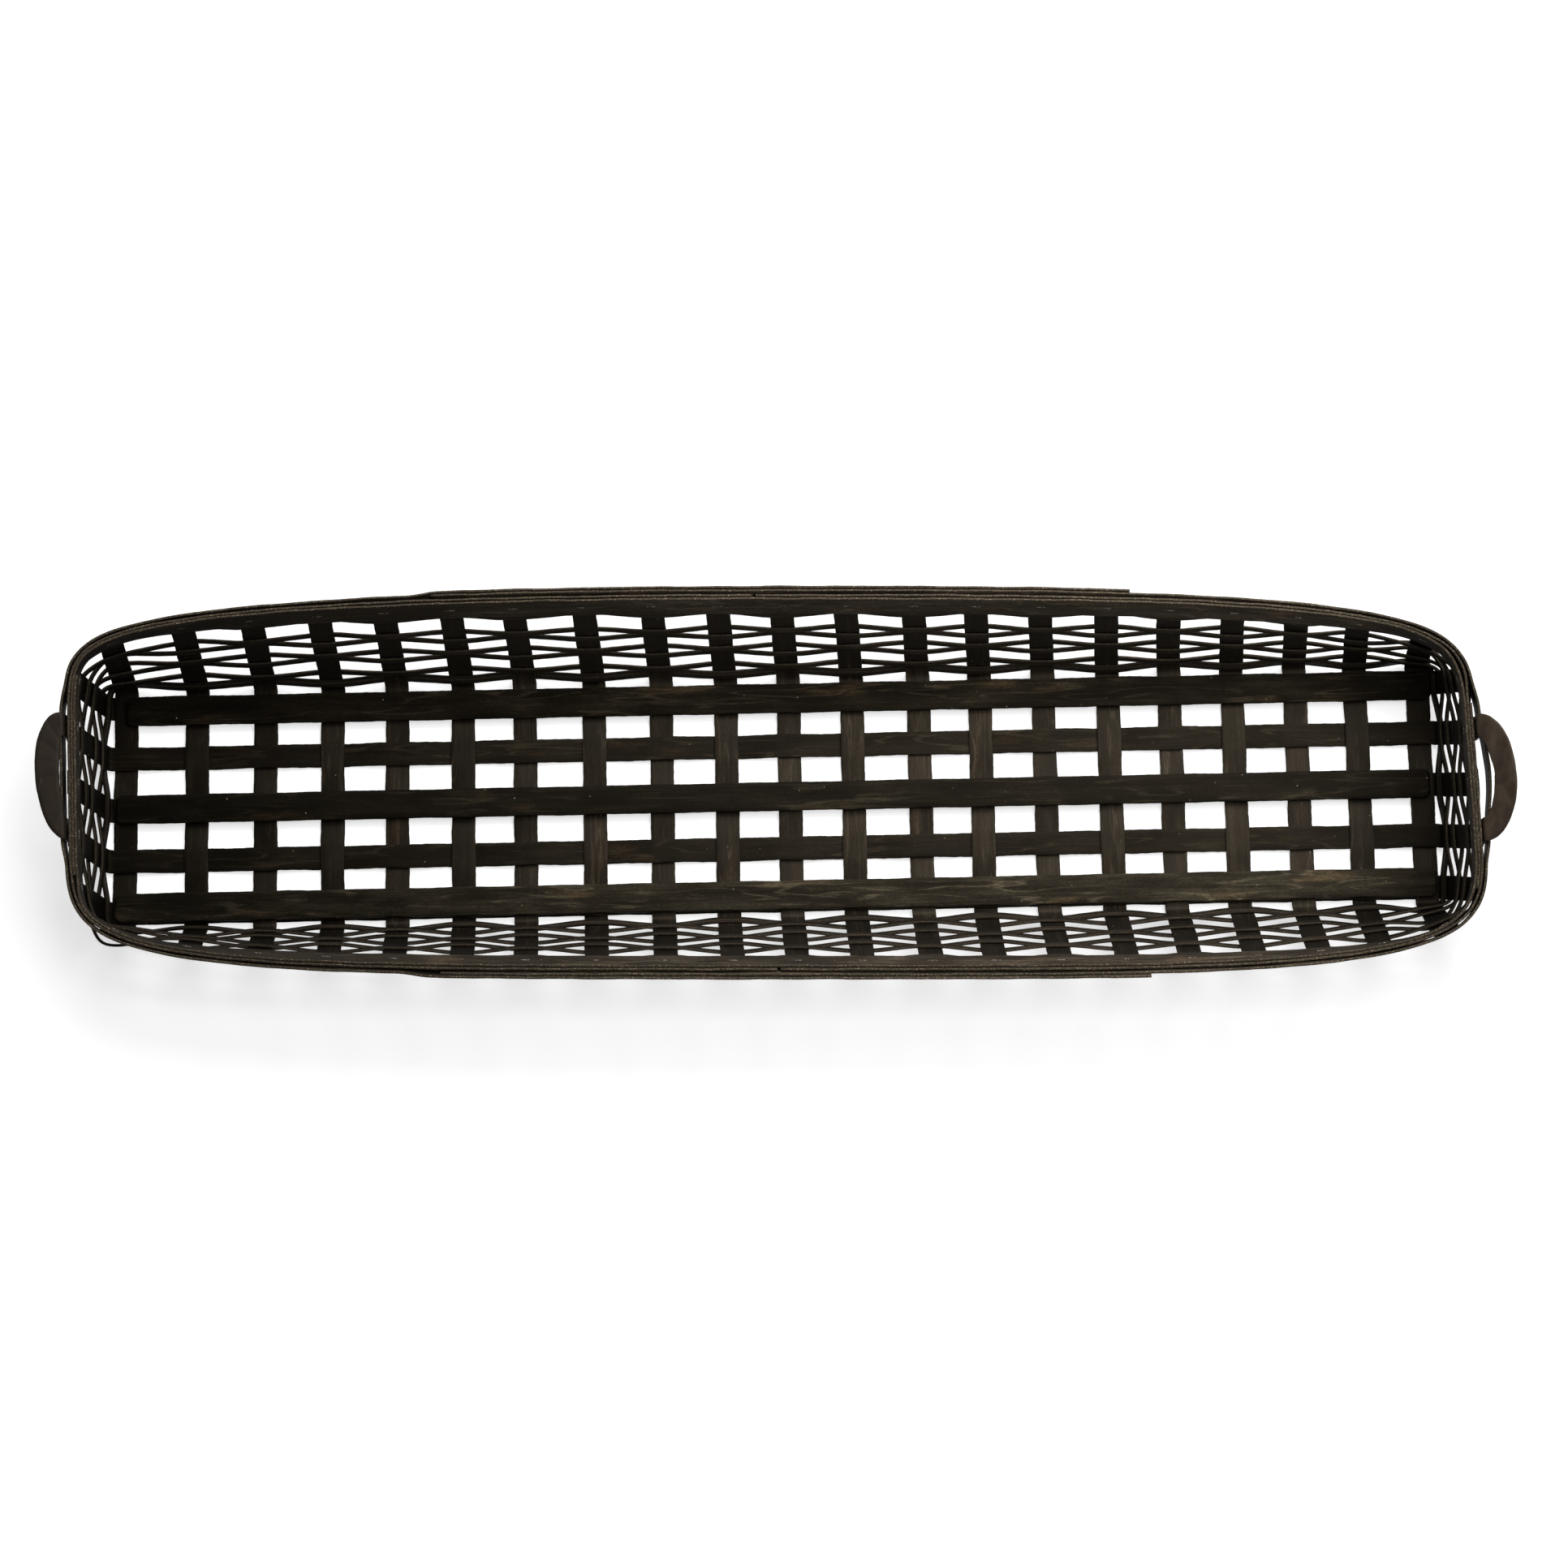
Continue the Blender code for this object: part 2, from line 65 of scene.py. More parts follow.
lengthwise_places = lengthwise_spacing * np.array([2.0, 1.0, 0.0, -1.0, -2.0])
base_half_length = 0.35385
base_half_width = 0.06345
wall_height = 0.054
left_flare = 0.0126
right_flare = 0.0134
side_flare = 0.0368
rim_left = base_half_length + left_flare
rim_right = base_half_length + right_flare
rim_half_length = (rim_left + rim_right) / 2
rim_half_width = base_half_width + side_flare
rim_rack = math.radians(2.6)
corner_powers = np.array([[(4.1, 7.1), (2.15, 8.1)], [(4.1, 6.2), (3.1, 7.5)]])
band_lean_power = 6
band_width = 0.0111
upright_trim = 0.0026
upright_top_share = 0.6
tucked_length = 0.011
thinning_length = 0.014
knee_drop = 0.0008
crosswise_x = crosswise_place_shares * crosswise_spread / 2


def unit(vectors):
    """Each vector divided by its length."""
    vectors = np.asarray(vectors, float)
    return vectors / np.linalg.norm(vectors, axis=-1, keepdims=True)


def turned(x, y, z=0.0):
    """Points of the woven base, turned about the vertical by base_twist."""
    x, y, z = np.broadcast_arrays(np.asarray(x, float), y, z)
    cosine, sine = math.cos(base_twist), math.sin(base_twist)
    return np.stack([cosine * x - sine * y, sine * x + cosine * y, z], axis=-1)


def corner_of(x, y):
    """The rim's half length at this end, and the corner's powers along the side and along the
    end, by the signs of x and y. corner_powers has left before right, and near before far."""
    right, far = np.asarray(x) > 0, np.asarray(y) > 0
    powers = corner_powers[right.astype(int), far.astype(int)]
    return np.where(right, rim_right, rim_left), powers[..., 0], powers[..., 1]


def outline(angle):
    """Rim line: in each quarter the reach r solves (r|cos|/a)^p + (r|sin|/b)^q = 1, found by
    Newton's steps inward from the rectangle round it. Then x slides by -y times the tangent of
    rim_rack."""
    angle = np.asarray(angle, float)
    cosine, sine = np.cos(angle), np.sin(angle)
    half_length, side_power, end_power = corner_of(cosine, sine)
    along, beside = np.abs(cosine) / half_length, np.abs(sine) / rim_half_width
    reach = 1 / np.maximum(along, beside)
    for _ in range(12):
        side_term, end_term = (reach * along) ** side_power, (reach * beside) ** end_power
        reach = reach - reach * (side_term + end_term - 1) / (side_power * side_term + end_power * end_term)
    x, y = reach * cosine, reach * sine
    return np.stack([x - y * math.tan(rim_rack), y, np.full_like(x, wall_height)], axis=-1)


def wall_frame(angle):
    """Rim point, and the wall's outward, along and upward directions there. Upward leans out by
    the distance that the rim point lies beyond the base's rectangle, over the wall's height, times
    one less the band_lean_power of its share of the way to the basket's end."""
    probe = 1e-4
    point = outline(angle)
    along = unit(outline(angle + probe) - outline(angle - probe))
    outward = np.stack([along[..., 1], -along[..., 0], np.zeros_like(along[..., 0])], axis=-1)
    beyond = np.hypot(np.maximum(np.abs(point[..., 0]) - base_half_length, 0.0),
                      np.maximum(np.abs(point[..., 1]) - base_half_width, 0.0))
    beyond = beyond * (1 - np.minimum(1.0, np.abs(point[..., 0]) / rim_half_length) ** band_lean_power)
    upward = unit(outward * beyond[..., None] + np.array([0.0, 0.0, wall_height]))
    return point, outward, along, upward


def chord_sag(angle):
    """How far the rim's curve stands out from the middle of a flat splint's chord."""
    probe = 1e-4
    moved = np.linalg.norm(outline(angle + probe) - outline(angle - probe), axis=-1)
    half_chord = splint_width * probe / moved
    middle = (outline(angle + half_chord) + outline(angle - half_chord)) / 2
    return np.linalg.norm(outline(angle) - middle, axis=-1)


def angle_at_x(x, side):
    """Outline angle at this place along the basket, on the far (1) or near (-1) side."""
    half_length, side_power, end_power = corner_of(x, side)
    y = (1 - abs(x / half_length) ** side_power) ** (1 / end_power) * rim_half_width
    return float(np.arctan2(y * side, x) % (2 * math.pi))


def angle_at_y(y, side):
    """Outline angle at this place across the basket, at the right (1) or left (-1) end."""
    half_length, side_power, end_power = corner_of(side, y)
    x = (1 - abs(y / rim_half_width) ** end_power) ** (1 / side_power) * half_length
    return float(np.arctan2(y, x * side) % (2 * math.pi))


def upright(foot, angle, base_across):
    """Knee and top of an upright, and its direction across at the rim, turned the way that it
    faces at its foot. Its edges bend in by the sag of the rim's curve."""
    point, outward, along, upward = wall_frame(angle)
    if along @ base_across < 0:
        along = -along
    return {"foot": foot, "knee": point - upward * (band_width + knee_drop),
            "top": point - upward * upright_trim, "base_across": base_across, "rim_across": along,
            "outward": outward, "sag": float(chord_sag(angle))}


def crosswise_uprights(x):
    """The near and far uprights of the crosswise splint at this place."""
    return [upright(turned(x, side * base_half_width), angle_at_x(x, side),
                    turned(1, 0)) for side in (-1, 1)]


def rounded_path(points, across, step, softness, closed=False):
    """A broken line walked in even steps, then averaged over a bell-shaped window of this
    softness, so that its corners turn into bends. The directions across follow the same way."""
    points, across = np.asarray(points, float), np.asarray(across, float)
    if closed:
        points, across = np.vstack([points, points[:1]]), np.vstack([across, across[:1]])
    run = np.r_[0.0, np.cumsum(np.linalg.norm(np.diff(points, axis=0), axis=1))]
    count = max(8, int(round(run[-1] / step)))
    at = np.linspace(0, run[-1], count, endpoint=not closed)
    values = np.hstack([points, across])
    walked = np.stack([np.interp(at, run, column) for column in values.T], axis=1)
    pad = int(math.ceil(3 * softness / step))
    if closed:
        padded = np.vstack([walked[-pad:], walked, walked[:pad]])
    else:
        beyond = np.arange(1, pad + 1)[:, None]
        before = walked[0] + (walked[0] - walked[1]) * beyond[::-1]
        after = walked[-1] + (walked[-1] - walked[-2]) * beyond
        padded = np.vstack([before, walked, after])
    window = np.exp(-0.5 * (np.arange(-pad, pad + 1) * step / softness) ** 2)
    window /= window.sum()
    smooth = np.stack([np.convolve(column, window, "valid") for column in padded.T], axis=1)
    return smooth[:, :3], unit(smooth[:, 3:])


def ripple(distance, longest, height, seed, closed_length=None):
    """Smooth wander along a strip: six sine waves, each shorter and lower than the last, with
    lengths and starts drawn from the seed. On a ring they fit its length a whole number of times."""
    draw = np.random.default_rng(seed)
    total = np.zeros_like(distance)
    for octave in range(6):
        wave = longest / (1.9 ** octave) * draw.uniform(0.8, 1.25)
        if closed_length:
            wave = closed_length / max(1, round(closed_length / wave))
        start = draw.uniform(0, 2 * math.pi)
        total += np.sin(2 * math.pi * distance / wave + start) * height / (1.7 ** octave)
    return total


def section_of(width, thickness, round_share=0.32):
    """A flat rectangle with rounded corners, anticlockwise from the middle of its lower edge: its
    places across and through, and the distance walked round it."""
    radius = thickness * round_share
    turns = np.radians([0.0, 30.0, 60.0, 90.0])
    flat = np.linspace(-1, 1, 7)[1:-1]
    right = [(width / 2 - radius + radius * math.cos(t), thickness / 2 - radius + radius * math.sin(t))
             for t in turns]
    top = [(-(width / 2 - radius) * f, thickness / 2) for f in flat]
    left = [(-a, b) for a, b in reversed(right)]
    half = right + top + left
    loop = np.array([(-a, -b) for a, b in half] + half)
    closing = np.vstack([loop, loop[:1]])
    walked = np.r_[0.0, np.cumsum(np.linalg.norm(np.diff(closing, axis=0), axis=1))]
    return loop, walked


def placed(name, data):
    """A new object in the scene."""
    made = bpy.data.objects.new(name, data)
    bpy.context.scene.collection.objects.link(made)
    return made


def skin(name, points, run, loop, walked, start, last_run=0.0, closed=False):
    """A smooth mesh over rows of points that go round a section, with flat ends unless it is
    closed. Its UV map holds the distance along, moved on by start, and the distance round, in
    metres."""
    rows, columns = points.shape[:2]
    i, j = np.arange(rows if closed else rows - 1)[:, None], np.arange(columns)[None]
    after, beside = (i + 1) % rows * columns, (j + 1) % columns
    faces = np.stack([i * columns + j, i * columns + beside, after + beside, after + j], axis=-1)
    faces = faces.reshape(-1, 4).tolist()
    u0, u1, v0, v1 = np.broadcast_arrays(run[i], run[i + 1], walked[j], walked[j + 1])
    uv = np.stack([u0, v0, u0, v1, u1, v1, u1, v0], axis=-1).reshape(-1, 2)
    if not closed:
        faces += [list(range(columns))[::-1], list(range((rows - 1) * columns, rows * columns))]
        cap = np.stack([loop[:, 1], walked[:-1]], axis=1)
        uv = np.vstack([uv, cap[::-1], cap + [last_run, 0.0]])
    mesh = bpy.data.meshes.new(name)
    mesh.from_pydata(points.reshape(-1, 3).tolist(), [], faces)
    layer = mesh.uv_layers.new(name="grain")
    layer.data.foreach_set("uv", (uv + [start, 0.0]).astype(np.float32).ravel())
    mesh.polygons.foreach_set("use_smooth", np.ones(len(mesh.polygons), bool))
    mesh.update()
    return mesh


def strip(name, path, across, width, thickness, seed, closed=False, width_shares=1.0,
          raggedness=0.00012, wander=0.0, thickness_shares=1.0, cup=0.0):
    """A flat strip swept along a path: station point + across * a + normal * b, where (a, b) walks
    round the rounded section, and b also gains cup times the square of a's share of the half
    width. The seed draws its edges' raggedness and its wander, and moves its grain on. No point
    goes below the ground."""
    if closed:
        ahead = np.roll(path, -1, axis=0) - np.roll(path, 1, axis=0)
    else:
        ahead = np.gradient(path, axis=0)
    along = unit(ahead)
    across = unit(across - along * (across * along).sum(1, keepdims=True))
    normal = np.cross(along, across)
    steps = np.linalg.norm(np.diff(np.vstack([path, path[:1]]), axis=0), axis=1)
    run = np.r_[0.0, np.cumsum(steps)]
    at, length = run[:-1], run[-1] if closed else None
    loop, walked = section_of(width, thickness)
    left, right = (ripple(at, long_wave, raggedness, seed + k, length)[:, None]
                   + ripple(at, short_wave, raggedness / 3, seed + k + 1, length)[:, None]
                   for long_wave, short_wave, k in ((0.05, 0.007, 0), (0.06, 0.006, 2)))
    sway = ripple(at, 0.09, wander, seed + 4, length)[:, None]
    width_shares, thickness_shares, cup = (np.broadcast_to(values, at.shape)[:, None] for values in
                                           (width_shares, thickness_shares, cup))
    edge = np.clip(loop[:, 0] / (width / 2), -1, 1)
    places = loop[:, 0] * width_shares + np.where(edge > 0, right, left) * edge
    depths = loop[:, 1] * thickness_shares + sway + cup * edge ** 2
    points = (path[:, None] + across[:, None] * places[:, :, None]
              + normal[:, None] * depths[:, :, None])
    points[:, :, 2] = np.maximum(points[:, :, 2], 0.0)
    return placed(name, skin(name, points, run, loop, walked, seed * 1.37, run[-2], closed))


def node(tree, kind, links=(), **settings):
    """Adds a shader node, sets its fields, and links or sets its inputs from (name, value) pairs."""
    made = tree.nodes.new(kind)
    for field, value in settings.items():
        setattr(made, field, value)
    for socket, value in links:
        if isinstance(value, bpy.types.NodeSocket):
            tree.links.new(value, made.inputs[socket])
        else:
            made.inputs[socket].default_value = value
    return made


def math_node(tree, operation, first, second=0.0, third=0.0):
    """One arithmetic node's result."""
    return node(tree, "ShaderNodeMath", ((0, first), (1, second), (2, third)),
                operation=operation).outputs[0]


def stretched_noise(tree, u, v, along, across, detail=3.0, roughness=0.55, shift=0.0):
    """Noise whose features are one metre over along by one metre over across in size."""
    vector = node(tree, "ShaderNodeCombineXYZ", (
        ("X", math_node(tree, "MULTIPLY", u, along)), ("Y", math_node(tree, "MULTIPLY", v, across)),
        ("Z", shift))).outputs[0]
    return node(tree, "ShaderNodeTexNoise", (
        ("Vector", vector), ("Scale", 1.0), ("Detail", detail), ("Roughness", roughness)),
        noise_dimensions="3D").outputs["Fac"]


def band_of(tree, value, low, high):
    """0 below low, 1 above high, and a smooth climb between."""
    return node(tree, "ShaderNodeMapRange", (
        ("Value", value), ("From Min", low), ("From Max", high)),
        interpolation_type="SMOOTHSTEP").outputs[0]


def mixed(tree, factor, first, second):
    """Two colours mixed by the factor."""
    made = node(tree, "ShaderNodeMix", (("Factor", factor),), data_type="RGBA")
    for socket, value in (("A", first), ("B", second)):
        target = next(s for s in made.inputs if s.name == socket and s.type == "RGBA")
        if isinstance(value, bpy.types.NodeSocket):
            tree.links.new(value, target)
        else:
            target.default_value = (*value, 1.0)
    return next(s for s in made.outputs if s.type == "RGBA")


def product(tree, value, *others):
    """The values multiplied together."""
    for other in others:
        value = math_node(tree, "MULTIPLY", value, other)
    return value


def line_of(tree, value, slope, start):
    """Start plus slope times the value."""
    return math_node(tree, "MULTIPLY_ADD", value, slope, start)


def one_less(tree, value):
    """One less the value."""
    return math_node(tree, "SUBTRACT", 1.0, value)


def scaled(tree, vector, factor):
    """A vector or a colour times a factor."""
    return node(tree, "ShaderNodeVectorMath", ((0, vector), ("Scale", factor)), operation="SCALE").outputs[0]


def spots(tree, vector, inner, outer, rare, common):
    """At most one round spot in each cell of the vector: 1 within inner of its point and 0 beyond
    outer, times the climb of the cell's own random number from rare to common."""
    cell = node(tree, "ShaderNodeTexVoronoi", (("Vector", vector), ("Scale", 1.0)), voronoi_dimensions="2D")
    drawn = node(tree, "ShaderNodeSeparateColor", ((0, cell.outputs["Color"]),)).outputs[0]
    near = one_less(tree, band_of(tree, cell.outputs["Distance"], inner, outer))
    return product(tree, near, band_of(tree, drawn, rare, common))


def new_material(name):
    """A material, its node tree and its shader."""
    material = bpy.data.materials.new(name)
    material.use_nodes = True
    return material, material.node_tree, material.node_tree.nodes["Principled BSDF"]


def grain_of(tree):
    """The grain's UV vector, its distance along and its distance round."""
    vector = node(tree, "ShaderNodeUVMap", uv_map="grain").outputs["UV"]
    u, v, _ = node(tree, "ShaderNodeSeparateXYZ", ((0, vector),)).outputs
    return vector, u, v


def place_in(tree):
    """The place in the object's own space, as a vector."""
    return node(tree, "ShaderNodeTexCoord").outputs["Object"]


def set_bump(tree, shader, height, strength, distance):
    """Bends the shader's normal by a height."""
    bump = node(tree, "ShaderNodeBump", (
        ("Strength", strength), ("Distance", distance), ("Height", height)))
    tree.links.new(bump.outputs["Normal"], shader.inputs["Normal"])


def set_roughness(tree, shader, value, first, last):
    """The shader's roughness, from first to last as the value goes from 0 to 1."""
    rough = node(tree, "ShaderNodeMapRange", (("Value", value), ("To Min", first), ("To Max", last)))
    tree.links.new(rough.outputs[0], shader.inputs["Roughness"])


def stained_wood(name, deep, brown, tan, figure=0.5, patches=0.5, torn_and_highlit_edge=None, edge_fibre_and_highlight_paleness=3.0,
                 edge_specks=1.0, shine=0.24, painted_wall_shade=0.0):
    """Dyed veneer. Painted light along the basket: its colour and the strength of its sheen are painted
    darkest at the basket's left end, lightest right of its middle and dark again at its right end,
    painted shade at both ends and a painted pool of light between. Above the base the tone is taken
    times one less the material's painted wall shade: painted shade on the walls' uprights, and a
    lightening above the base where the value is below nought. The tone drifts slowly along the strip,
    in long patches, in streaks and in fine fibre lines. Pale growth rings are the contour lines of a
    long noise. Sparse pale pores are the middles of cells. Where the material is given the stretch
    round the section that is its cut upper edge, that edge is made the given edge factor times paler,
    with bright specks and dashes: pale torn fibres on the bands, and on the weavers a painted
    highlight with torn texture."""
    material, tree, shader = new_material(name)
    grain, u, v = grain_of(tree)
    brown, tan = np.array(brown), np.array(tan)
    fibre = stretched_noise(tree, u, v, 90.0, 2400.0, 3.0, 0.6)
    mottle = stretched_noise(tree, u, v, 430.0, 1300.0, 4.0, 0.75, 3.1)
    streak = stretched_noise(tree, u, v, 18.0, 620.0, 3.0, 0.55, 7.7)
    patch = stretched_noise(tree, u, v, 22.0, 95.0, 4.0, 0.6, 12.3)
    drift = stretched_noise(tree, u, v, 1.3, 3.0, 1.0, 0.5, 17.9)
    growth = stretched_noise(tree, u, v, 13.0, 120.0, 2.0, 0.45, 24.4)
    bare = stretched_noise(tree, u, v, 17.0, 75.0, 3.0, 0.6, 29.0)
    # Tone: painted light along the basket, painted shade on the walls, random drift and noise
    x, _, z = node(tree, "ShaderNodeSeparateXYZ", ((0, place_in(tree)),)).outputs
    # Painted light along the basket: painted shade at the left end, a painted pool of light right of the
    # middle, painted shade again at the right end.
    painted_light_along_basket = product(tree, line_of(tree, band_of(tree, x, -0.42, 0.13), 0.78, 0.22),
                  line_of(tree, band_of(tree, x, 0.27, 0.352), -0.72, 1.0))
    # Painted shade on the walls: above the base the tone is darkened by the material's painted wall shade; a
    # value below nought lightens it instead.
    tone = product(tree, painted_light_along_basket, line_of(tree, band_of(tree, z, 0.003, 0.012), -painted_wall_shade, 1.0),
                   line_of(tree, drift, 0.6, 0.7))
    for noise, depth in ((fibre, 1.5), (mottle, 2.8), (streak, 1.9), (patch, 1.5)):
        tone = product(tree, tone, line_of(tree, noise, depth, 1 - depth / 2))
    # Growth rings and bare patches
    colour = mixed(tree, band_of(tree, patch, 0.36, 0.68), deep, brown)
    ring = math_node(tree, "FRACT", product(tree, growth, 6.0))
    from_line = math_node(tree, "ABSOLUTE", math_node(tree, "SUBTRACT", ring, 0.5))
    ring = one_less(tree, band_of(tree, from_line, 0.03, 0.16))
    colour = mixed(tree, product(tree, ring, band_of(tree, bare, 0.42, 0.60), figure), colour, 4.0 * brown)
    colour = mixed(tree, product(tree, band_of(tree, bare, 0.58, 0.72), patches),
                   colour, brown * (3.1, 2.6, 2.2))
    cells = scaled(tree, grain, 72.0)
    height = math_node(tree, "ADD", product(tree, fibre, 0.7), mottle)
    # The cut upper edge: pale torn fibres with specks, and on the weavers a painted highlight
    if torn_and_highlit_edge:
        low, high = torn_and_highlit_edge
        inside = product(tree, band_of(tree, v, low - 0.0002, low + 0.0001),
                         one_less(tree, band_of(tree, v, high - 0.0001, high + 0.0002)))
        torn = stretched_noise(tree, u, v, 850.0, 1500.0, 3.0, 0.65, 31.0)
        strand = stretched_noise(tree, u, v, 45.0, 3600.0, 2.0, 0.5, 37.0)
        pale = mixed(tree, band_of(tree, torn, 0.34, 0.66), 0.32 * edge_fibre_and_highlight_paleness * brown, 1.2 * edge_fibre_and_highlight_paleness * brown)
        pale = mixed(tree, product(tree, band_of(tree, strand, 0.52, 0.60), 0.65),
                     pale, 0.35 * edge_fibre_and_highlight_paleness * brown)
        speck = product(tree, spots(tree, scaled(tree, cells, 12.5), 0.10, 0.34, 0.58, 1.0),
                        band_of(tree, torn, 0.38, 0.56))
        dash = band_of(tree, stretched_noise(tree, u, v, 1700.0, 420.0, 2.0, 0.6, 43.0), 0.56, 0.72)
        speck = math_node(tree, "MAXIMUM", speck, product(tree, dash, 0.55))
        pale = mixed(tree, product(tree, speck, edge_specks), pale, tan)
        colour = mixed(tree, inside, colour, pale)
        # The edge keeps more of its lightness: pale torn fibres, and on the weavers a painted highlight.
        kept_tone = line_of(tree, one_less(tree, tone), 0.6, tone)
        tone = node(tree, "ShaderNodeMix", (("Factor", inside), ("A", tone), ("B", kept_tone)),
                    data_type="FLOAT").outputs[0]
        height = line_of(tree, product(tree, torn, inside), 2.5, height)
    # Shader
    pores = spots(tree, cells, 0.014, 0.030, 0.72, 1.05)
    tree.links.new(mixed(tree, pores, scaled(tree, colour, tone), 0.6 * tan), shader.inputs["Base Color"])
    set_roughness(tree, shader, mottle, 0.50, 0.62)
    # The sheen's strength follows the same painted light along the basket: weaker at both ends.
    tree.links.new(line_of(tree, painted_light_along_basket, 0.7 * shine, 0.3 * shine), shader.inputs["Specular IOR Level"])
    shader.inputs["Specular Tint"].default_value = (1.0, 0.84, 0.62, 1.0)
    set_bump(tree, shader, height, 0.5, 0.00012)
    return material


def finish_piece(piece, material, slot, *nodes):
    """Gives a piece its finish and body, and hides the plain solids that it stands for. Its slot is not used.
    """
    piece.data.materials.append(material)
    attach(piece, "basket")
    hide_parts(*nodes)


# Painted shade makes its uprights about a quarter as light as its base.
crosswise_wood = stained_wood("dyed crosswise splint", (0.0092, 0.0069, 0.0046), (0.0182, 0.0137, 0.0091),
                              (0.40, 0.30, 0.19), figure=0.45, patches=0.35, painted_wall_shade=0.76)


def splint(name, foot_to_foot, uprights, seed):
    """A splint from upright top to upright top, through the level stretches of the weave. At both
    ends tucked_length has upright_top_share of its thickness and the rim's curve, and that eases
    off over the next thinning_length."""
    first, last = uprights
    start = first["foot"] + (first["knee"] - first["foot"]) * (foot_to_foot[0][2] / first["knee"][2])
    finish = last["foot"] + (last["knee"] - last["foot"]) * (foot_to_foot[-1][2] / last["knee"][2])
    points = np.vstack([first["top"], first["knee"], start, foot_to_foot, finish, last["knee"], last["top"]])
    across = np.vstack([first["rim_across"], first["rim_across"],
                        np.tile(first["base_across"], (len(foot_to_foot) + 2, 1)),
                        last["rim_across"], last["rim_across"]])
    path, across = rounded_path(points, across, splint_step, splint_softness)
    normal = np.cross(np.gradient(path, axis=0), across)
    run = np.arange(len(path)) * splint_step
    thinned, cup = 0.0, 0.0
    for one, away in ((first, run), (last, run[::-1])):
        near_top = 1.0 - np.clip((away - tucked_length) / thinning_length, 0.0, 1.0)
        cup = cup - near_top * np.sign(normal @ one["outward"]) * one["sag"]
        thinned = thinned + near_top
    return strip(name, path, across, splint_width, splint_thickness, seed, wander=0.00004,
                 thickness_shares=1.0 - (1.0 - upright_top_share) * thinned, cup=cup)


def level_stretches(places, over):
    """Both ends of each level stretch, where the splint lies over or under the ones it meets."""
    reach = splint_width / 2 + splint_gap
    ends = (np.asarray(places)[:, None] + [-reach, reach]).ravel()
    heights = splint_thickness / 2 + layer_step * np.repeat(np.asarray(over, float), 2)
    return ends, heights


for number, x in enumerate(crosswise_x, 1):
    over = (number + np.arange(1, 6)) % 2 == 0
    ends, heights = level_stretches(lengthwise_places[::-1], over[::-1])
    name = f"crosswise_splint_{number:02d}"
    piece = splint("wood_" + name, turned(x, ends, heights), crosswise_uprights(x), 10 + number)
    finish_piece(piece, crosswise_wood, "stained_splint", name)


# Lengthwise splints
# Five strips of the same wood, each the whole length of the base. They are woven through the
# crosswise ones and bend up into the end walls.
def lengthwise_uprights(y):
    """The left and right uprights of the lengthwise splint at this place."""
    return [upright(turned(side * base_half_length, y), angle_at_y(y, side),
                    turned(0, 1)) for side in (-1, 1)]


# Painted shade makes its uprights six tenths as light as its base.
lengthwise_wood = stained_wood("dyed lengthwise splint", (0.0052, 0.0040, 0.0025), (0.0110, 0.0085, 0.0052),
                               (0.36, 0.27, 0.15), figure=0.6, patches=0.6, shine=0.16, painted_wall_shade=0.4)
for number, y in enumerate(lengthwise_places, 1):
    over = (number + np.arange(1, 22)) % 2 == 1
    ends, heights = level_stretches(crosswise_x, over)
    name = f"lengthwise_splint_{number}"
    piece = splint("wood_" + name, turned(ends, y, heights), lengthwise_uprights(y), 40 + number)
    finish_piece(piece, lengthwise_wood, "stained_splint", name)


# Base slats
# Three thicker sawn slats with clipped corners, laid inside over the first, middle and last
# lengthwise splints to stiffen the base.
slat_width = 0.0155
slat_thickness = 0.002
slat_ends = {"far": (-0.345, 0.3525), "middle": (-0.350, 0.3500), "near": (-0.350, 0.3510)}
slat_stations = 460
slat_clip = 0.0022
slat_inset = 0.0024
slat_tan = (0.50, 0.42, 0.28)
# The near slat is given colours about two and a half to three and a half times lighter than the far and
# middle slats'.
slat_woods = {
    "far": stained_wood("dyed far slat", (0.0060, 0.0047, 0.0028), (0.0140, 0.0111, 0.0068), slat_tan,
                        figure=0.6, patches=0.9, shine=0.08),
    "middle": stained_wood("dyed middle slat", (0.0050, 0.0040, 0.0026), (0.0110, 0.0090, 0.0056), slat_tan,
                           figure=0.55, patches=0.7, shine=0.12),
    "near": stained_wood("dyed near slat", (0.0170, 0.0140, 0.0092), (0.0345, 0.0286, 0.0184), slat_tan,
                         figure=0.5, patches=0.8, shine=0.12)}
for place, y, inset, seed in (("far", lengthwise_places[0], -slat_inset, 61),
                              ("middle", 0.0, 0.0, 62), ("near", lengthwise_places[4], slat_inset, 63)):
    height = splint_thickness + layer_step + splint_gap + slat_thickness / 2
    left_end, right_end = slat_ends[place]
    x = np.linspace(left_end, right_end, slat_stations)
    path = turned(x, y + inset, height)
    from_end = np.minimum(x - left_end, right_end - x)
    shares = 1 - 2 * slat_clip / slat_width * np.clip(1 - from_end / slat_clip, 0, 1)
    across = np.tile(turned(0, 1), (len(x), 1))
    piece = strip(f"wood_base_slat_{place}", path, across, slat_width, slat_thickness, seed,
                  width_shares=shares, raggedness=0.0001, wander=0.00006)
    finish_piece(piece, slat_woods[place], "stained_slat", f"base_slat_{place}")


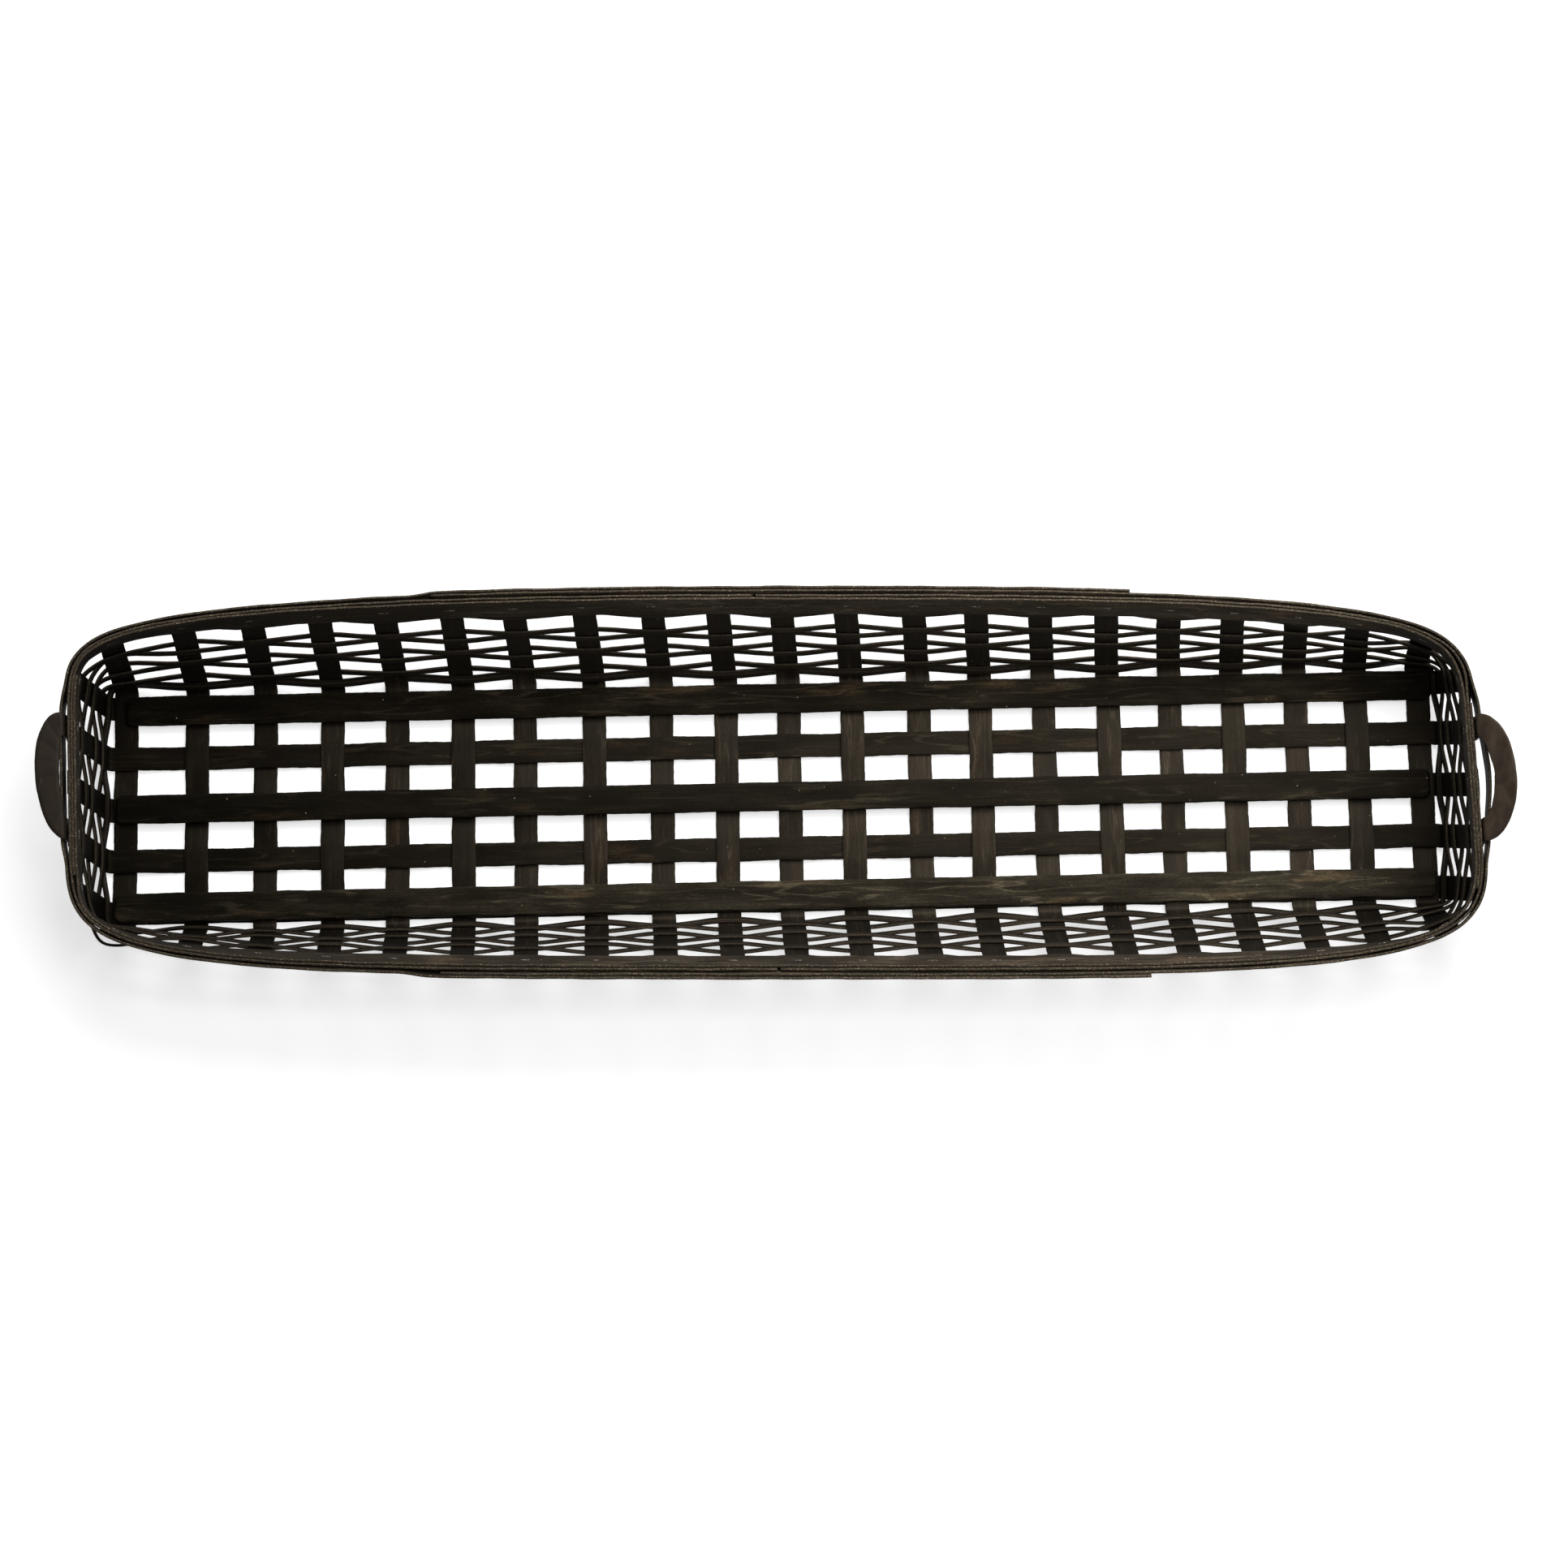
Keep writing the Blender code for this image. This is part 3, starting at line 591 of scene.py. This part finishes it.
# Weavers
# Thin strips of the same wood laid in rings, in pairs that cross between the uprights: one of a
# pair passes outside an upright where the other passes inside it. One has slipped out at the
# near left corner.
weaver_width = 0.003
low_weaver_widths = {1: 0.0056, 2: 0.0033}
weaver_thickness = 0.00135
weaver_clearance = 0.00015
weaver_heights = (0.0057, 0.0103, 0.01797, 0.02167, 0.02844, 0.03214, 0.0415)
weaver_first_sides = (-1, 1, 1, -1, -1, 1, 1)
weaver_step = 0.0022
weaver_softness = 0.0034
weaver_ring = 1.9
weaver_wave = 0.24
weaver_wander = 0.00022
# The weavers' top edge is painted lighter: a painted highlight where the edge faces the light, with
# torn-fibre texture.
weaver_highlit_top = (weaver_width - weaver_thickness * 0.05, weaver_width + weaver_thickness * 1.1)
weaver_wood = stained_wood("dyed weaver", (0.009, 0.007, 0.0048), (0.018, 0.014, 0.010), (0.26, 0.20, 0.13),
                           figure=0.3, patches=0.4, torn_and_highlit_edge=weaver_highlit_top, edge_fibre_and_highlight_paleness=2.6, edge_specks=0.3)
slipped_weaver = 4
slipped_from = np.array([-0.3485, -0.070])
slipped_by = np.array([-0.0030, -0.0063])
slipped_reach = 0.014
crosswise_pairs = [crosswise_uprights(x) for x in crosswise_x]
lengthwise_pairs = [lengthwise_uprights(y) for y in lengthwise_places]
round_basket = ([pair[1] for pair in reversed(lengthwise_pairs)]
                + [pair[1] for pair in reversed(crosswise_pairs)]
                + [pair[0] for pair in lengthwise_pairs] + [pair[0] for pair in crosswise_pairs])
feet, knees, base_across, rim_across = (np.array([one[key] for one in round_basket])
                                        for key in ("foot", "knee", "base_across", "rim_across"))
rise = unit(knees - feet)
for number, (height, side) in enumerate(zip(weaver_heights, weaver_first_sides), 1):
    up = (height / knees[:, 2])[:, None]
    centre = feet + (knees - feet) * up
    beside = unit(base_across * (1 - up) + rim_across * up)
    outward = unit(np.cross(beside, rise))
    outward *= np.sign((outward * centre).sum(1, keepdims=True))
    beside = beside * np.sign((beside * np.cross([0.0, 0.0, 1.0], outward)).sum(1, keepdims=True))
    twist = np.arccos(np.clip(np.abs((base_across * rim_across).sum(1)), 0, 1))
    room = splint_width * twist * weaver_width / knees[:, 2]
    offset = splint_thickness / 2 + weaver_clearance + weaver_thickness / 2 + room
    sides = side * (-1.0) ** np.arange(len(centre))
    passing = centre + outward * (offset * sides)[:, None]
    reach = splint_width / 2
    before, after = passing - beside * reach, passing + beside * reach
    middle = (centre + beside * reach + np.roll(centre - beside * reach, -1, axis=0)) / 2
    points = np.stack([before, after, middle], axis=1).reshape(-1, 3)
    across = np.stack([rise, rise, unit(rise + np.roll(rise, -1, axis=0))], axis=1).reshape(-1, 3)
    path, across = rounded_path(points, across, weaver_step, weaver_softness, closed=True)
    run = np.linspace(0, 1, len(path), endpoint=False) * weaver_ring
    waver = ripple(run, weaver_wave, weaver_wander, 80 + (number + 1) // 2, weaver_ring)
    path = path + across * waver[:, None]
    if number == slipped_weaver:
        from_corner = np.linalg.norm(path[:, :2] - slipped_from, axis=1)
        path[:, :2] += slipped_by * np.exp(-0.5 * (from_corner / slipped_reach) ** 2)[:, None]
    piece = strip(f"wood_weaver_{number}", path, across, low_weaver_widths.get(number, weaver_width),
                  weaver_thickness, 70 + number, closed=True, raggedness=0.00007)
    finish_piece(piece, weaver_wood, "stained_weaver", f"weaver_{number}")


# Rim bands
# Strips bent round the tops of the uprights and stapled through: an inner hoop lapped at the
# left end, a liner in three pieces under it, and two outer half hoops that lap along the sides
# and stand off at the ends, where the leather goes through.
band_thickness = 0.0014
band_clearance = 0.0001
strap_thickness = 0.0018
layer_spacing = band_thickness + band_clearance
top_half = splint_thickness * upright_top_share / 2
first_layer = top_half + band_clearance + band_thickness / 2
strap_offset = top_half + band_clearance + strap_thickness / 2
stand_off_layer = strap_offset + strap_thickness / 2 + band_clearance + band_thickness / 2
drawn_together = 0.00012
drawing_run = 0.007
lap_run = 0.018
end_flat_share = 0.60
end_ease_share = 0.25
handle_shift = 0.004
strap_room = 0.034
strap_ease = 0.016
right_bow = 0.003
butt_gap = 0.0017
band_step = 0.0024
band_wave = 0.20
band_wander = 0.0001
left_joint_far_share = -0.012
inner_lap_shares = (0.57, -0.50)
right_lap_shares = (0.41, -0.57)
outer_right_end_shares = (-0.474, -0.476)
outer_left_end_shares = (0.524, 0.522)
full_turn = 2 * math.pi
band_top = (band_width - band_thickness * 0.05, band_width + band_thickness * 1.1)
# The band lies wholly above the base, so its negative painted wall shade makes it evenly 1.35 times lighter.
band_wood = stained_wood("dyed band", (0.0185, 0.0146, 0.0102), (0.033, 0.0264, 0.0188), (0.58, 0.46, 0.30),
                         figure=0.3, patches=0.6, torn_and_highlit_edge=band_top, edge_fibre_and_highlight_paleness=2.4, edge_specks=0.9,
                         painted_wall_shade=-0.35)
upright_angles = np.array([angle_at_x(x, side) for x in crosswise_x for side in (-1, 1)]
                          + [angle_at_y(y, side) for y in lengthwise_places for side in (-1, 1)])
upright_tops = outline(upright_angles)


def eased(value):
    """0 below 0, 1 above 1, and 3x^2 - 2x^3 between."""
    value = np.clip(value, 0.0, 1.0)
    return value * value * (3 - 2 * value)


def end_share(point):
    """1 across an end of the basket, easing to 0 at its corners."""
    return 1.0 - eased((np.abs(point[:, 1]) / rim_half_width - end_flat_share) / end_ease_share)


def strap_share(point):
    """1 where the leather's legs pass behind the outer band, easing to 0 beside them."""
    return 1.0 - eased((np.abs(point[:, 1] - handle_shift) - strap_room) / strap_ease)


def lapped(beyond):
    """1 where another band's end lies alongside, easing to 0 with the distance beyond it."""
    return 1.0 - eased((beyond - splint_gap) / lap_run)


def layer_point(angle, offset):
    """Points level with the rim's top, this far out from the uprights, square to the wall. Clear
    of every upright the bands on both sides are drawn_together."""
    point, outward, along, upward = wall_frame(angle)
    nearest = np.linalg.norm(point[:, None] - upright_tops[None], axis=2).min(axis=1)
    drawn = drawn_together * eased((nearest - splint_width / 2) / drawing_run)
    away = (offset - np.sign(offset) * drawn) / upward[:, 2]
    return point + outward * away[:, None]


def band(name, start, end, offset_at, seed):
    """A band from one rim angle to another in even steps, its offset given by a function."""
    fine = np.linspace(start, end, 6000)
    run = np.r_[0.0, np.cumsum(np.linalg.norm(np.diff(outline(fine), axis=0), axis=1))]
    angle = np.interp(np.linspace(0, run[-1], int(run[-1] / band_step)), run, fine)
    point, _, _, upward = wall_frame(angle)
    at = np.linspace(0, run[-1], len(angle))
    lift = ripple(at, band_wave, band_wander, seed + 9)
    path = layer_point(angle, offset_at(point, angle)) - upward * (band_width / 2 - lift[:, None])
    piece = strip("wood_" + name, path, upward, band_width, band_thickness, seed, raggedness=0.00009)
    finish_piece(piece, band_wood, "stained_band", name)


def inner_offset(point, angle):
    """Two layers in, a third over the liner's lap at the right, and again over the hoop's own lap."""
    extra = np.where(point[:, 0] > 0, end_share(point), 0.0)
    starting = (angle < 1.5 * math.pi) & (point[:, 0] < 0)
    over = lapped(inner_lap_shares[1] * rim_half_width - point[:, 1])
    return -(first_layer + layer_spacing * (1 + np.where(starting, over, extra)))


def lapped_liner_offset(point, angle):
    """One layer in, and a second over the other right-hand liner's end."""
    over = np.where(point[:, 0] > 0, lapped(point[:, 1] - right_lap_shares[0] * rim_half_width), 0.0)
    return -(first_layer + layer_spacing * over)


def liner_offset(point, angle):
    """One layer in from the uprights."""
    return np.full(len(angle), -first_layer)


def right_outer_offset(point, angle):
    """One layer out, standing off across the right end and bowed out between the leather's legs."""
    at_right = point[:, 0] > 0
    extra = np.where(at_right, strap_share(point), 0.0)
    bow = np.clip(1 - ((point[:, 1] - handle_shift) / strap_room) ** 2, 0, 1) ** 2
    return first_layer + (stand_off_layer - first_layer) * extra + right_bow * np.where(at_right, bow, 0.0)


def left_outer_offset(point, angle):
    """Two layers out over the right band, easing to one beyond it, standing off across the left end."""
    extra = np.where(point[:, 0] < 0, strap_share(point), 0.0)
    over = lapped(np.where(point[:, 1] > 0, *right_band_ends) - point[:, 0])
    side_layer = first_layer + layer_spacing * over
    return side_layer + (stand_off_layer - side_layer) * extra


half_gap = butt_gap / 2
far_joint = left_joint_far_share * rim_half_length
right_band_ends = [share * rim_half_length for share in outer_right_end_shares]
left_band_ends = [share * rim_half_length for share in outer_left_end_shares]
lap_far, lap_near = (share * rim_half_width for share in inner_lap_shares)
right_near_end, right_far_end = (share * rim_half_width for share in right_lap_shares)
hoop_start = angle_at_y(lap_far, -1)
band("inner_rim_band", hoop_start, angle_at_y(lap_near, -1) + full_turn, inner_offset, 101)
band("liner_band_left", angle_at_x(far_joint - half_gap, 1), angle_at_x(-half_gap, -1), liner_offset, 102)
band("liner_band_far_right", angle_at_y(right_far_end, 1) - full_turn, angle_at_x(far_joint + half_gap, 1),
     lapped_liner_offset, 103)
band("liner_band_near_right", angle_at_x(half_gap, -1) - full_turn, angle_at_y(right_near_end, 1),
     liner_offset, 104)
band("outer_rim_band_right", angle_at_x(right_band_ends[1], -1) - full_turn,
     angle_at_x(right_band_ends[0], 1), right_outer_offset, 105)
band("outer_rim_band_left", angle_at_x(left_band_ends[0], 1), angle_at_x(left_band_ends[1], -1),
     left_outer_offset, 106)


# Staples
# A short wire staple through the bands at each upright. Only its crown shows, on the inner hoop's
# inner face.
staple_reach = 0.0026
staple_wire = 0.00028
staple_drop = 0.0052
staple_out_share = 0.3


def staple_crowns(name, angles):
    """Round bars with domed ends, one at each angle: along * reach * s, with a ring of radius
    wire * sqrt(1 - s^8) round each place s from -1 to 1."""
    point, outward, along, upward = wall_frame(angles)
    middle = layer_point(angles, inner_offset(point, angles)) - upward * staple_drop
    across_bands = np.cross(along, upward)
    across_bands = across_bands * np.sign((across_bands * outward).sum(1, keepdims=True))
    middle = middle - across_bands * (band_thickness / 2 + staple_wire * staple_out_share)
    s = np.array([-0.999, -0.97, -0.9, -0.7, -0.3, 0.3, 0.7, 0.9, 0.97, 0.999])
    turns = np.arange(8) * math.pi / 4
    radius = staple_wire * np.sqrt(1 - s ** 8)
    ring = (outward[:, None] * np.cos(turns)[:, None] + upward[:, None] * np.sin(turns)[:, None])
    points = (middle[:, None, None] + along[:, None, None] * (staple_reach * s)[:, None, None]
              + ring[:, None] * radius[:, None, None])
    bars, rows, columns = points.shape[:3]
    i, j = np.arange(rows - 1)[:, None], np.arange(columns)[None]
    beside = (j + 1) % columns
    one = np.stack([i * columns + j, (i + 1) * columns + j, (i + 1) * columns + beside,
                    i * columns + beside], axis=-1).reshape(-1, 4)
    first = np.arange(bars)[:, None, None] * rows * columns
    caps = np.stack([np.arange(columns), np.arange(rows * columns - 1, (rows - 1) * columns - 1, -1)])
    faces = (one[None] + first).reshape(-1, 4).tolist() + (caps[None] + first).reshape(-1, columns).tolist()
    mesh = bpy.data.meshes.new(name)
    mesh.from_pydata(points.reshape(-1, 3).tolist(), [], faces)
    mesh.polygons.foreach_set("use_smooth", np.ones(len(mesh.polygons), bool))
    mesh.update()
    return placed(name, mesh)


def stained_wire(name):
    """Steel wire under stain: worn bright along most of its length, with stain left in cloudy spots."""
    material, tree, shader = new_material(name)
    cloud = node(tree, "ShaderNodeTexNoise", (
        ("Scale", 900.0), ("Detail", 3.0), ("Vector", place_in(tree)))).outputs["Fac"]
    worn = band_of(tree, cloud, 0.42, 0.62)
    tree.links.new(mixed(tree, worn, (0.020, 0.016, 0.012), (0.16, 0.14, 0.12)), shader.inputs["Base Color"])
    set_roughness(tree, shader, worn, 0.6, 0.35)
    shader.inputs["Metallic"].default_value = 0.7
    set_bump(tree, shader, cloud, 0.3, 0.00005)
    return material


hoop_angles = np.where(upright_angles < hoop_start, upright_angles + full_turn, upright_angles)
staples = staple_crowns("rim_staples", hoop_angles)
staples.data.materials.append(stained_wire("stained staple wire"))
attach(staples, "basket")


# Leather handles
# One flat strap of dyed leather at each end, cut to an ear shape. Its two legs are tucked
# between the uprights and the outer band, and it folds outward where it comes over the rim.
strap_width = 0.0127
strap_corner_share = 0.42
handle_span = 0.0545
strap_end_length = 0.0095
fold_radius = 0.0017
opening_taper = 0.006
arch_sweep = np.linspace(0, math.pi, 61)
leg_places = np.linspace(strap_end_length, 0.0, 12)[:-1]


def leather(name):
    """Smooth dyed leather: slow cloudy tone, fine pebble grain, and a few pale rubs. Painted light and
    shade: its colour is painted 0.45 times at the basket's left and 2.3 times at its right, painted
    shade on the left ear and a painted reflection on the right one."""
    material, tree, shader = new_material(name)
    _, u, v = grain_of(tree)
    cloud = stretched_noise(tree, u, v, 110.0, 110.0, 4.0, 0.6)
    pebble = stretched_noise(tree, u, v, 1500.0, 1500.0, 2.0, 0.6, 5.0)
    rub = stretched_noise(tree, u, v, 70.0, 160.0, 5.0, 0.65, 9.0)
    colour = mixed(tree, band_of(tree, cloud, 0.32, 0.70), (0.0105, 0.0075, 0.0052), (0.0235, 0.0170, 0.0120))
    colour = mixed(tree, product(tree, band_of(tree, rub, 0.64, 0.78), 0.55), colour, (0.085, 0.068, 0.052))
    # Painted shade on the left ear and a painted reflection on the right ear, by the place along the basket.
    x = node(tree, "ShaderNodeSeparateXYZ", ((0, place_in(tree)),)).outputs[0]
    tone = line_of(tree, band_of(tree, x, -0.2, 0.2), 1.85, 0.45)
    tree.links.new(scaled(tree, colour, tone), shader.inputs["Base Color"])
    shader.inputs["Roughness"].default_value = 0.48
    shader.inputs["Specular IOR Level"].default_value = 0.2
    shader.inputs["Specular Tint"].default_value = (1.0, 0.84, 0.66, 1.0)
    set_bump(tree, shader, pebble, 0.35, 0.0001)
    return material


def pattern_edge(half_width, arch_half_width, arch_reach, skew):
    """One edge of the flat strap: straight up a leg, round half an ellipse that is moved aside by
    skew times the sine of its sweep, and down the other leg."""
    leg = np.stack([np.full(len(leg_places), half_width), -leg_places], 1)
    arch = np.stack([arch_half_width * np.cos(arch_sweep) + skew * np.sin(arch_sweep),
                     arch_reach * np.sin(arch_sweep)], 1)
    return np.vstack([leg, arch, leg[::-1] * [-1.0, 1.0]])


def ear(name, side, handle_reach, handle_lean, shift, skew, seed):
    """The strap as a flat pattern between its inner and outer edges, then folded: a point's reach
    past the hinge line goes round a bend of fold_radius, from straight down the wall to the lean.
    The opening narrows by opening_taper half way up each side of the arch."""
    middle = angle_at_y(shift, side)
    _, _, _, upward = wall_frame(middle)
    pivot = layer_point(np.array([middle]), np.array([strap_offset]))[0]
    pivot[2] = wall_height + splint_gap + strap_thickness / 2
    axis = unit(np.array([-math.tan(rim_rack), 1.0, 0.0]))
    outward = unit(np.cross(axis, [0.0, 0.0, 1.0])) * side
    lean_out = outward * math.cos(handle_lean) + np.array([0.0, 0.0, math.sin(handle_lean)])
    half_outer, half_inner = (handle_span + strap_width) / 2, (handle_span - strap_width) / 2
    narrowed = half_inner - opening_taper * (1 - np.cos(2 * arch_sweep)) / 2
    outer = pattern_edge(half_outer, half_outer, handle_reach, skew)
    inner = pattern_edge(half_inner, narrowed, handle_reach - strap_width, skew)
    loop, walked = section_of(strap_width, strap_thickness, strap_corner_share)
    share = loop[:, 0] / strap_width + 0.5
    flat = inner[:, None] * (1 - share[:, None]) + outer[:, None] * share[:, None]
    run = np.r_[0.0, np.cumsum(np.linalg.norm(np.diff((inner + outer) / 2, axis=0), axis=1))]
    ragged = ripple(run, 0.03, 0.00012, seed)[:, None] * (share - 0.5) * 2
    flat = flat + (outer - inner)[:, None] / strap_width * ragged[:, :, None]
    # Fold each reach about the hinge line, round an arc between the wall's line and the lean
    turn = math.acos(float(np.clip(upward @ lean_out, -1, 1)))
    arc = fold_radius * turn
    reach = flat[..., 1]
    bend = np.clip((reach + arc / 2) / arc, 0, 1) * turn
    cosine, sine = np.cos(bend)[..., None], np.sin(bend)[..., None]
    bent_out = unit(lean_out - upward * (lean_out @ upward))
    in_arc = (upward * sine + bent_out * (1 - cosine)) * fold_radius
    before = np.minimum(reach + arc / 2, 0.0)[..., None] * upward
    after = np.maximum(reach - arc / 2, 0.0)[..., None] * (upward * cosine + bent_out * sine)
    points = pivot + axis * flat[..., :1] - upward * arc / 2 + in_arc + before + after
    lift = loop[:, 1] + ripple(run, 0.05, 0.00018, seed + 5)[:, None]
    points = points + (upward * sine - bent_out * cosine) * lift[..., None]
    mesh = skin(name, points, run, loop, walked, seed * 0.31)
    if side < 0:
        mesh.flip_normals()
    mesh.materials.append(strap_leather)
    return placed(name, mesh), pivot, upward, lean_out


strap_leather = leather("dyed leather")
for place, side, handle_reach, handle_lean, shift, skew, seed in (
        ("left", -1, 0.0146, math.radians(10), 0.0025, 0.0045, 201),
        ("right", 1, 0.0202, math.radians(40), 0.0014, -0.0005, 202)):
    piece, pivot, upward, lean_out = ear(
        f"leather_handle_{place}", side, handle_reach, handle_lean, shift, skew, seed)
    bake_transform(piece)
    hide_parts(f"handle_strap_{place}", f"strap_end_{place}_far", f"strap_end_{place}_near")


# Floor and backdrop
# A pale studio floor that keeps the basket's soft shadow, in front of a white background with a
# darker ceiling over it.
floor_reach = 6.0
floor_tone = 0.62
floor_glow = 0.63
sky_fill = 0.11
ceiling_tone = 0.05


def seen_rays(tree):
    """1 for camera, glossy and transmission rays, else 0."""
    rays = node(tree, "ShaderNodeLightPath").outputs
    seen = math_node(tree, "MAXIMUM", rays["Is Camera Ray"], rays["Is Glossy Ray"])
    return math_node(tree, "MAXIMUM", seen, rays["Is Transmission Ray"])


floor_mesh = bpy.data.meshes.new("floor")
corners = [(floor_reach * x, floor_reach * y, 0.0) for x, y in ((-1, -1), (1, -1), (1, 1), (-1, 1))]
floor_mesh.from_pydata(corners, [], [(0, 1, 2, 3)])
floor = placed("floor", floor_mesh)
floor_paint, tree, floor_shader = new_material("pale floor")
floor_shader.inputs["Base Color"].default_value = (floor_tone, floor_tone, floor_tone, 1.0)
floor_shader.inputs["Roughness"].default_value = 0.9
floor_shader.inputs["Specular IOR Level"].default_value = 0.0
glow = node(tree, "ShaderNodeEmission", (
    ("Color", (1.0, 1.0, 1.0, 1.0)), ("Strength", product(tree, seen_rays(tree), floor_glow))))
both = node(tree, "ShaderNodeAddShader", ((0, floor_shader.outputs[0]), (1, glow.outputs[0])))
tree.links.new(both.outputs[0], tree.nodes["Material Output"].inputs["Surface"])
floor_mesh.materials.append(floor_paint)

world = bpy.data.worlds.new("studio")
world.use_nodes = True
bpy.context.scene.world = world
tree = world.node_tree
direction = node(tree, "ShaderNodeSeparateXYZ", ((0, node(tree, "ShaderNodeTexCoord").outputs["Generated"]),))
seen_sky = node(tree, "ShaderNodeMapRange", (
    ("Value", direction.outputs["Z"]), ("From Min", 0.35), ("From Max", 0.70), ("To Min", 1.0),
    ("To Max", ceiling_tone)))
strength = node(tree, "ShaderNodeMix", (
    ("Factor", seen_rays(tree)), ("A", sky_fill), ("B", seen_sky.outputs[0])), data_type="FLOAT")
tree.links.new(strength.outputs[0], tree.nodes["Background"].inputs["Strength"])
tree.nodes["Background"].inputs["Color"].default_value = (1.0, 1.0, 1.0, 1.0)


# Lamps
# Two big soft lamps. One above the right end gives the base its sheen. One beyond the far side
# lights the rim's inner face and throws the shadow towards the viewer.
def lamp(name, place, size, power):
    """A rectangular lamp at a place, facing the middle of the basket."""
    data = bpy.data.lights.new(name, "AREA")
    data.shape = "RECTANGLE"
    data.size, data.size_y = size
    data.energy = power
    made = placed(name, data)
    made.location = place
    made.rotation_euler = (-Vector(place)).to_track_quat("-Z", "Y").to_euler()


lamp("key", (0.70, 0.35, 1.55), (1.4, 1.2), 17.0)
lamp("far", (0.10, 1.35, 1.30), (1.5, 0.9), 27.0)


# Camera
# It stands nearly two metres above the basket, slightly nearer than its middle.
camera_place = Vector((0.03083, -0.32951, 1.95450))
camera_aim = Vector((0.00631, 0.00755, 0.0))
camera_roll = 0.0017
sensor_width = 36.0
image_size = 1932
focal_pixels = 4576.0
forward = (camera_aim - camera_place).normalized()
level_right = forward.cross(Vector((0.0, 1.0, 0.0))).normalized()
level_up = level_right.cross(forward)
right = math.cos(camera_roll) * level_right + math.sin(camera_roll) * level_up
above = -math.sin(camera_roll) * level_right + math.cos(camera_roll) * level_up
camera_data = bpy.data.cameras.new("camera")
camera_data.sensor_width = sensor_width
camera_data.lens = focal_pixels / image_size * sensor_width
camera = placed("camera", camera_data)
facing = Matrix((right, above, -forward)).transposed().to_4x4()
camera.matrix_world = Matrix.Translation(camera_place) @ facing
bpy.context.scene.camera = camera
bpy.context.scene.view_settings.view_transform = "Standard"
